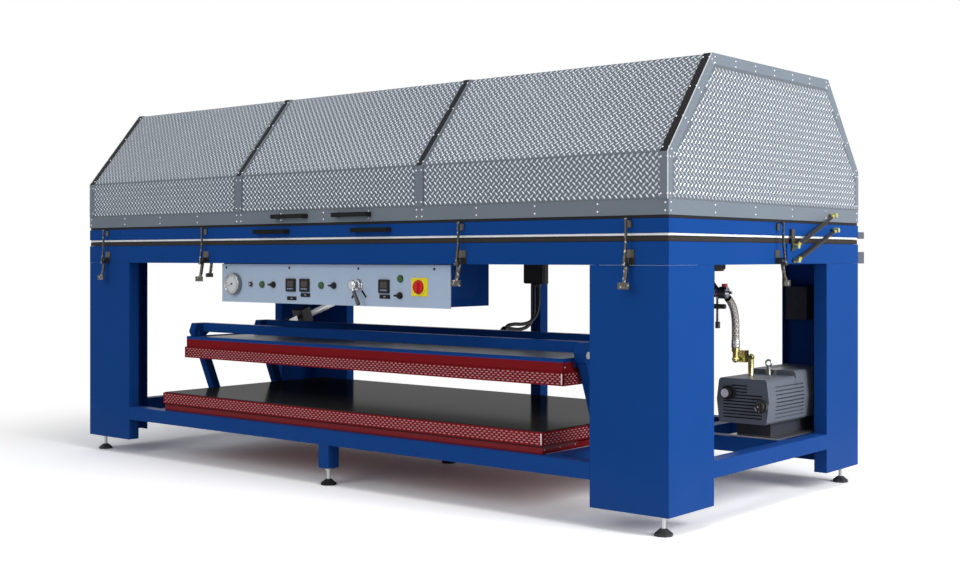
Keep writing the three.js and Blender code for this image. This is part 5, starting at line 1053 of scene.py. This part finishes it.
def hood_facets():
    """Start, direction and length of each flat face of the bent panels, from the front over the roof to the rear."""
    bottom, top = SIDE_LOW[2], SIDE_HIGH[2]
    corners = np.array([(0, FRONT, bottom), (0, FRONT, CREASE), (0, ROOF_FRONT, top), (0, ROOF_REAR, top),
                        (0, REAR, CREASE), (0, REAR, bottom)])
    facets = []
    for start, end in zip(corners[:-1], corners[1:]):
        length = float(np.linalg.norm(end - start))
        facets.append((start, (end - start) / length, length))
    return facets


def tread_unit():
    """One raised bar: a long six-sided foot and a ridge of two points, 1 long, 1 wide and 1 high."""
    vertices = np.array([
        (-0.5, 0, 0), (-0.22, -0.5, 0), (0.22, -0.5, 0), (0.5, 0, 0), (0.22, 0.5, 0), (-0.22, 0.5, 0),
        (-0.27, 0, 1), (0.27, 0, 1),
    ])
    faces = np.array([(0, 1, 6), (1, 2, 7), (1, 7, 6), (2, 3, 7), (3, 4, 7), (4, 5, 6), (4, 6, 7), (5, 0, 6)])
    return vertices, faces


class PRESS_OT_tread_bars(bpy.types.Operator):
    """Raises the bars of the tread plate on the hood's bent panels and end panels"""

    bl_idname = "press.tread_bars"
    bl_label = "Tread bars"

    def execute(self, context):
        # The bars are painted far brighter than the plate between them: painted highlights on the bars
        bright = even("tread_bar_aluminium", Paint.bare, colours().aluminium, 0.24, (60.0, 60.0, 60.0), 0.4)
        inner = RIB - RIB_EDGE
        spans = {"left": (SIDE_LOW[0], -MIDDLE_END), "middle": (-inner, inner), "right": (MIDDLE_END, -SIDE_LOW[0])}
        for name, span in spans.items():
            rows = [self.facet(*facet, *span) for facet in hood_facets()]
            piece(f"tread_bars_{name}", *merged(*rows), bright, "hood")
        plate = tread_plate("end_tread_plate")
        for name, side in (("left", -1), ("right", 1)):
            piece(f"end_plate_{name}", *self.end_plate(side), plate, "hood")
            piece(f"tread_bars_end_{name}", *self.end(side), bright, "hood")
        return {"FINISHED"}

    def lattice(self, width, height, margin):
        """Centres of the bars on a sheet: two sets, the second half a pitch over and turned the other way."""
        pitch = sizes().tread_pitch
        u = np.arange(0, width + pitch, pitch / 2)
        v = np.arange(0, height + pitch, pitch / 2)
        gu, gv = np.meshgrid(u, v, indexing="ij")
        iu, iv = np.meshgrid(np.arange(len(u)), np.arange(len(v)), indexing="ij")
        keep = ((iu + iv) % 2 == 0) & (gu > margin) & (gu < width - margin) & (gv > margin) & (gv < height - margin)
        turn = np.where(iu % 2 == 0, 1.0, -1.0) * math.radians(45)
        return gu[keep], gv[keep], turn[keep]

    def bars(self, origin, along, up, u, v, turn):
        """Bars at origin + u along + v up, each turned in the sheet's plane."""
        s = sizes()
        normal = np.cross(along, up)
        places = origin + u[:, None] * along + v[:, None] * up
        direction = np.cos(turn)[:, None] * along + np.sin(turn)[:, None] * up
        across = np.cross(normal, direction)
        frames = np.stack((direction * s.tread_bar, across * s.tread_width,
                           np.broadcast_to(normal * s.tread_rise, across.shape)), -1)
        return repeated(*tread_unit(), places, frames)

    def facet(self, first, up, height, start, end):
        """The bars of one flat face of the bent panels, from start to end along X."""
        u, v, turn = self.lattice(end - start, height, sizes().tread_bar * 0.42)
        return self.bars(ACROSS * start + first, ACROSS, up, u, v, turn)

    def end_plate(self, side):
        """The tread plate of an end panel, a thin sheet with the panel's outline inside its trim: the outline goes
        up at three heights and the last one closes to a point in the middle."""
        knee = CREASE + (END_POST * RISE - END_TRIM * SLANT) / RUN
        step = (END_TRIM * SLANT + (RISE - END_TRIM) * RUN) / RISE
        foot, top = SIDE_LOW[2] + 1.5 * MM, SIDE_HIGH[2] - END_TRIM
        outline = np.array([
            (FRONT + END_POST, foot), (REAR - END_POST, foot), (REAR - END_POST, knee), (REAR - step, top),
            (FRONT + step, top), (FRONT + END_POST, knee),
        ])
        if side < 0:
            outline = outline[::-1]
        middle = outline.mean(axis=0)
        rings = []
        for level, share in ((-0.5 * MM, 1.0), (END_RISE, 1.0), (END_RISE, 0.999), (END_RISE, 0.001)):
            flat = middle + (outline - middle) * share
            rings.append(np.column_stack((np.full(len(flat), side * (HALF_LENGTH + level)), flat)))
        return np.concatenate(rings), grid_faces(len(rings), len(outline), True)

    def end(self, side):
        """The bars of an end panel, kept inside the edge of its plate, which is a chamfered rectangle seen along X."""
        reach = sizes().tread_bar * 0.38
        width = REAR - FRONT
        u, v, turn = self.lattice(width, SIDE_HIGH[2] - SIDE_LOW[2], reach)
        height = v + SIDE_LOW[2] - CREASE
        least = END_TRIM + reach
        inside = (u * RISE - height * RUN) / SLANT > least
        inside &= ((width - u) * RISE - height * RUN) / SLANT > least
        inside &= (u > END_POST + reach) & (width - u > END_POST + reach) & (RISE - height > least)
        origin = np.array((side * (HALF_LENGTH + END_RISE), FRONT if side > 0 else REAR, SIDE_LOW[2]))
        return self.bars(origin, -OUT * side, UP, u[inside], v[inside], turn[inside])


class PRESS_OT_rivets(bpy.types.Operator):
    """Sets the paired rivets of the skirt, the end trim and the rib strips"""

    bl_idname = "press.rivets"
    bl_label = "Rivets"

    def execute(self, context):
        steel = even("rivet_steel", Paint.bare, (0.72, 0.74, 0.76), 0.3, (50.0, 50.0, 50.0))
        radius = sizes().rivet_radius
        # A head is a quarter of an ellipse, turned: (r cos t, 0.55 r sin t), and nearly closed at its top
        profile = [(radius * math.cos(t), radius * 0.55 * math.sin(t)) for t in np.linspace(0, math.pi / 2, 4)]
        profile[-1] = (radius * 0.05, profile[-1][1])
        piece("hood_rivets", *placed(turned(profile, 8, 1.0), *self.skirt(), *self.trim()), steel, "hood", True)
        return {"FINISHED"}

    def spread(self, start, end, inset, pitch):
        """Evenly spread values from start to end, about a pitch apart and kept off the ends."""
        count = max(2, round((end - start) / pitch) + 1)
        return np.linspace(start + inset, end - inset, count)

    def skirt(self):
        """(points, normal, along) of the rows round the skirt, two high."""
        heights = np.array((1095, 1122)) * MM
        edge = 14 * MM
        pitch = sizes().rivet_pitch
        for low, high in ((-HALF_LENGTH, -RIB), (-RIB, RIB), (RIB, HALF_LENGTH)):
            x, z = np.meshgrid(self.spread(low, high, edge, pitch), heights)
            for y, normal in ((FRONT, OUT), (REAR, -OUT)):
                yield np.stack((x.ravel(), np.full(x.size, y), z.ravel()), -1), normal, ACROSS
        y, z = np.meshgrid(self.spread(FRONT, REAR, edge, pitch), heights)
        for side in (-1.0, 1.0):
            yield np.stack((np.full(y.size, side * HALF_LENGTH), y.ravel(), z.ravel()), -1), ACROSS * side, -OUT

    def trim(self):
        """(points, normal, along) of the pairs along the border of each end panel and across the strips that wrap
        the bent panels."""
        strips = (-(HALF_LENGTH - 17 * MM), -RIB, RIB, HALF_LENGTH - 17 * MM)
        for start, along, length in hood_facets():
            out = np.cross(ACROSS, along)
            line = start + along * self.spread(0.0, length, 18 * MM, sizes().trim_pitch)[:, None]
            for side in (-1.0, 1.0):
                base = line + ACROSS * side * HALF_LENGTH
                yield np.concatenate((base - out * 10 * MM, base - out * 30 * MM)), ACROSS * side, along
            base = line + out * 3 * MM
            for middle in strips:
                yield np.concatenate([base + ACROSS * (middle + off) for off in (-13 * MM, 13 * MM)]), out, ACROSS


class PRESS_OT_guards(bpy.types.Operator):
    """Perforated guard bands round both platens, with insulating board behind them"""

    bl_idname = "press.guards"
    bl_label = "Guards"

    def execute(self, context):
        red = even("guard_paint", Paint.powder, colours().red, 0.4, gloss=POWDER_GLOSS)
        paint = Paint("insulating_board")
        fibre = paint.noise(240.0, 4.0, 0.7, paint.stretched(1.0, 1.0, 3.0))
        shade = paint.tint(fibre, colours().insulation, shaded(colours().insulation, 0.6))
        board = paint.show(Finish(shade, 0.9, 0.0, fibre * 4e-4))
        for name, body in (("lower_guard", "stand"), ("upper_guard", "upper_platen")):
            low, high = np.array(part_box(name), float)
            band = piece(f"{name}_sheet", *self.band(low, high), red, body)
            thicken(band, 1.6 * MM).offset = -1.0
            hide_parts(name)
            self.board(name, low, high, board, body)
            self.corner(name, low, high, body)
        self.screws("lower", *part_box("lower_platen"), 243 * MM, "stand")
        inner = np.array((6, 6, 0)) * MM
        self.screws("upper", low + inner, high - inner, 533 * MM, "upper_platen")
        return {"FINISHED"}

    def screws(self, name, low, high, height, body):
        """Pan-head screws along both sides of a platen's tray."""
        head = turned([(3.2, 0), (3.1, 0.9), (2.4, 1.7), (1.2, 2.0), (0.1, 2.1)], 12)
        y = np.arange(low[1] + 12 * MM, high[1], 95 * MM)
        rows = [(np.stack((np.full(y.size, x), y, np.full(y.size, height)), -1), ACROSS * side, -OUT)
                for x, side in ((low[0], -1.0), (high[0], 1.0))]
        piece(f"{name}_tray_screws", *placed(head, *rows),
              even(f"{name}_screw_steel", Paint.bare, colours().steel, 0.36, gloss=0.3), body, True)

    def corner(self, name, low, high, body):
        """A pale bare strip on the guard's sheet at its front right corner."""
        place = np.array((high[0] - 8 * MM, low[1], (low[2] + high[2]) / 2))
        strip = slab(5.5, (high[2] - low[2]) / MM - 9, 0.6, 0.05, 0.55, 0.3)
        piece(f"{name}_edge", *placed(strip, (place[None], OUT, ACROSS)),
              even(f"{name}_edge", Paint.bare, (0.70, 0.70, 0.73), 0.4, metallic=0.5), body)

    def band(self, low, high):
        """Four perforated sides of the box, each a row-by-row sheet of slotted cells."""
        width, depth, height = high - low
        sides = []
        for x, y, along, run in ((low[0], low[1], ACROSS, width), (high[0], low[1], -OUT, depth),
                                 (high[0], high[1], -ACROSS, width), (low[0], high[1], OUT, depth)):
            flat, faces = self.slotted(run, height)
            sides.append((np.array((x, y, low[2])) + flat[:, :1] * along + flat[:, 1:] * UP, faces))
        return merged(*sides)

    def slotted(self, run, height):
        """A flat sheet of cells with a six-cornered slot in each; odd rows lie half a cell over. Plain strips close
        its border and the half cells that are left at the ends of the rows."""
        s = sizes()
        margin = 4 * MM
        rows = s.slot_rows
        cell_height = (height - 2 * margin) / rows
        count = int((run - 2 * margin) / s.slot_pitch) - 1
        pitch = (run - 2 * margin) / (count + 0.5)
        a, b = pitch / 2, cell_height / 2
        p, q = s.slot_length / 2, s.slot_height / 2
        outer = np.array([(-a, -b), (0, -b), (a, -b), (a, 0), (a, b), (0, b), (-a, b), (-a, 0)])
        inner = np.array([(-p + q, -q), (0, -q), (p - q, -q), (p, 0), (p - q, q), (0, q), (-p + q, q), (-p, 0)])
        unit = np.concatenate((outer, inner))
        i = np.arange(8)
        k = (i + 1) % 8
        ring = np.stack((i, k, k + 8, i + 8), -1)
        column, row = np.meshgrid(np.arange(count), np.arange(rows), indexing="ij")
        column, row = column.ravel(), row.ravel()
        centre = np.stack((margin + (column + 0.5 + (row % 2) * 0.5) * pitch, margin + (row + 0.5) * cell_height), -1)
        cells = (centre[:, None] + unit[None]).reshape(-1, 2)
        faces = (ring[None] + (np.arange(len(centre)) * 16)[:, None, None]).reshape(-1, 4)
        solid = [((0, 0), (run, margin)), ((0, height - margin), (run, height)),
                 ((0, margin), (margin, height - margin)), ((run - margin, margin), (run, height - margin))]
        for r in range(rows):
            start = margin + (0 if r % 2 else count * pitch)
            solid.append(((start, margin + r * cell_height), (start + pitch / 2, margin + (r + 1) * cell_height)))
        corners = np.array([[(x0, z0), (x1, z0), (x1, z1), (x0, z1)] for (x0, z0), (x1, z1) in solid], float)
        return merged((cells, faces), (corners.reshape(-1, 2), np.arange(len(corners) * 4).reshape(-1, 4)))

    def board(self, name, low, high, material, body):
        """A plain board stands just inside the guard, open above and below: a rectangle swept upwards."""
        inset = 2.2 * MM
        x0, y0, x1, y1 = *(low[:2] + inset), *(high[:2] - inset)
        corners = np.array([(x0, y0), (x1, y0), (x1, y1), (x0, y1)])
        heights = np.linspace(low[2] + 2 * MM, high[2] - 3 * MM, 4)
        flat = np.broadcast_to(corners[None], (4, 4, 2))
        vertices = np.concatenate((flat, np.broadcast_to(heights[:, None, None], (4, 4, 1))), -1).reshape(-1, 3)
        piece(f"{name}_board", vertices, grid_faces(4, 4, True), material, body)


class PRESS_OT_stage(bpy.types.Operator):
    """Lays the pale floor and sets the soft light"""

    bl_idname = "press.stage"
    bl_label = "Stage"

    def execute(self, context):
        stage = context.scene.press_stage
        context.scene.view_settings.view_transform = "Standard"
        self.floor(stage.floor_lift)
        self.world(stage.daylight)
        self.lamp("key", (7.5, 0.2, 3.2), 4.0, stage.key)
        self.lamp("fill", (0.2, -8.0, 4.0), 5.0, stage.key * 0.39)
        self.lamp("top", (2.0, -0.9, 5.6), 2.4, stage.key * 0.15)
        return {"FINISHED"}

    def floor(self, lift):
        """A matte pale floor. What the camera, metal and glass see of it is lifted to white, its shadow kept, and
        it turns to plain white with its distance from the middle."""
        reach = np.linspace(-FLOOR_HALF, FLOOR_HALF, 9)
        x, y = np.meshgrid(reach, reach, indexing="ij")
        vertices = np.stack((x, y, np.zeros_like(x)), -1).reshape(-1, 3)
        mesh = bpy.data.meshes.new("floor")
        mesh.from_pydata(vertices.tolist(), [], grid_faces(9, 9)[:, ::-1].tolist())
        floor = bpy.data.objects.new("floor", mesh)
        bpy.context.scene.collection.objects.link(floor)
        material = bpy.data.materials.new("pale_floor")
        nodes = Nodes(material)
        matte = nodes.node("ShaderNodeBsdfDiffuse", None, {"Color": (0.62, 0.62, 0.63)})
        shown = nodes.node("ShaderNodeBsdfDiffuse", None, {"Color": (lift, lift, lift)})
        place = nodes.node("ShaderNodeTexCoord", output="Object")
        away = nodes.node("ShaderNodeVectorMath", {"operation": "LENGTH"}, {0: place}, "Value")
        far = nodes.node("ShaderNodeMapRange", {"interpolation_type": "SMOOTHSTEP"},
                         {"Value": away, "From Min": FLOOR_FADE[0], "From Max": FLOOR_FADE[1]}, "Result")
        faded = nodes.either(far, shown, nodes.node("ShaderNodeEmission"))
        nodes.node("ShaderNodeOutputMaterial", None, {"Surface": nodes.either(nodes.seen(), matte, faded)}, None)
        mesh.materials.append(material)

    def world(self, daylight):
        """Soft light that is brighter from above, and a white background for what the camera and metal see."""
        world = bpy.data.worlds.new("studio")
        bpy.context.scene.world = world
        nodes = Nodes(world)
        height = nodes.parts(nodes.node("ShaderNodeTexCoord", output="Generated"))[2]
        sky = nodes.ramp(height, (0.0, 0.5), (0.12, 0.7), (0.7, 1.0))
        light = nodes.node("ShaderNodeBackground", None, {"Color": sky, "Strength": daylight})
        white = nodes.node("ShaderNodeBackground", None, {"Color": (1.0, 1.0, 1.0)})
        nodes.node("ShaderNodeOutputWorld", None, {"Surface": nodes.either(nodes.seen(), light, white)}, None)

    def lamp(self, name, place, size, power):
        """A square lamp that is turned to shine on the middle of the press."""
        data = bpy.data.lights.new(name, "AREA")
        data.size = size
        data.energy = power
        lamp = bpy.data.objects.new(name, data)
        lamp.location = place
        x, y, z = np.array(LAMP_AIM) - np.array(place)
        lamp.rotation_euler = (math.pi / 2 + math.atan2(z, math.hypot(x, y)), 0.0, math.atan2(y, x) - math.pi / 2)
        bpy.context.scene.collection.objects.link(lamp)


class PRESS_PT_panel(bpy.types.Panel):
    """Lists the steps that dress the press, with the sizes and colours that they use."""

    bl_idname = "PRESS_PT_panel"
    bl_label = "Vacuum forming press"
    bl_space_type = "VIEW_3D"
    bl_region_type = "UI"
    bl_category = "Press"

    def draw(self, context):
        layout = self.layout
        for operator in OPERATORS:
            layout.operator(operator.bl_idname)
        for group in (getattr(context.scene, name) for name in GROUPS):
            box = layout.box()
            for name in group.__annotations__:
                box.prop(group, name)


OPERATORS = [
    PRESS_OT_camera,
    PRESS_OT_hoses,
    PRESS_OT_finishes,
    PRESS_OT_instruments,
    PRESS_OT_membrane,
    PRESS_OT_tread_bars,
    PRESS_OT_rivets,
    PRESS_OT_guards,
    PRESS_OT_stage,
]
GROUPS = {"press_sizes": PressSizes, "press_colours": PressColours, "press_stage": PressStage}
CLASSES = [*GROUPS.values(), *OPERATORS, PRESS_PT_panel]


def register():
    """Registers the classes and puts the property groups on the scene."""
    for cls in CLASSES:
        bpy.utils.register_class(cls)
    for name, group in GROUPS.items():
        setattr(bpy.types.Scene, name, PointerProperty(type=group))


def unregister():
    """Takes away what register adds."""
    for name in GROUPS:
        delattr(bpy.types.Scene, name)
    for cls in reversed(CLASSES):
        bpy.utils.unregister_class(cls)


def main():
    """Runs the steps in order, each of which has to finish."""
    register()
    for operator in OPERATORS:
        module, name = operator.bl_idname.split(".")
        if getattr(getattr(bpy.ops, module), name)() != {"FINISHED"}:
            raise RuntimeError(f"{operator.bl_label} didn't finish")


if __name__ == "__main__":
    main()
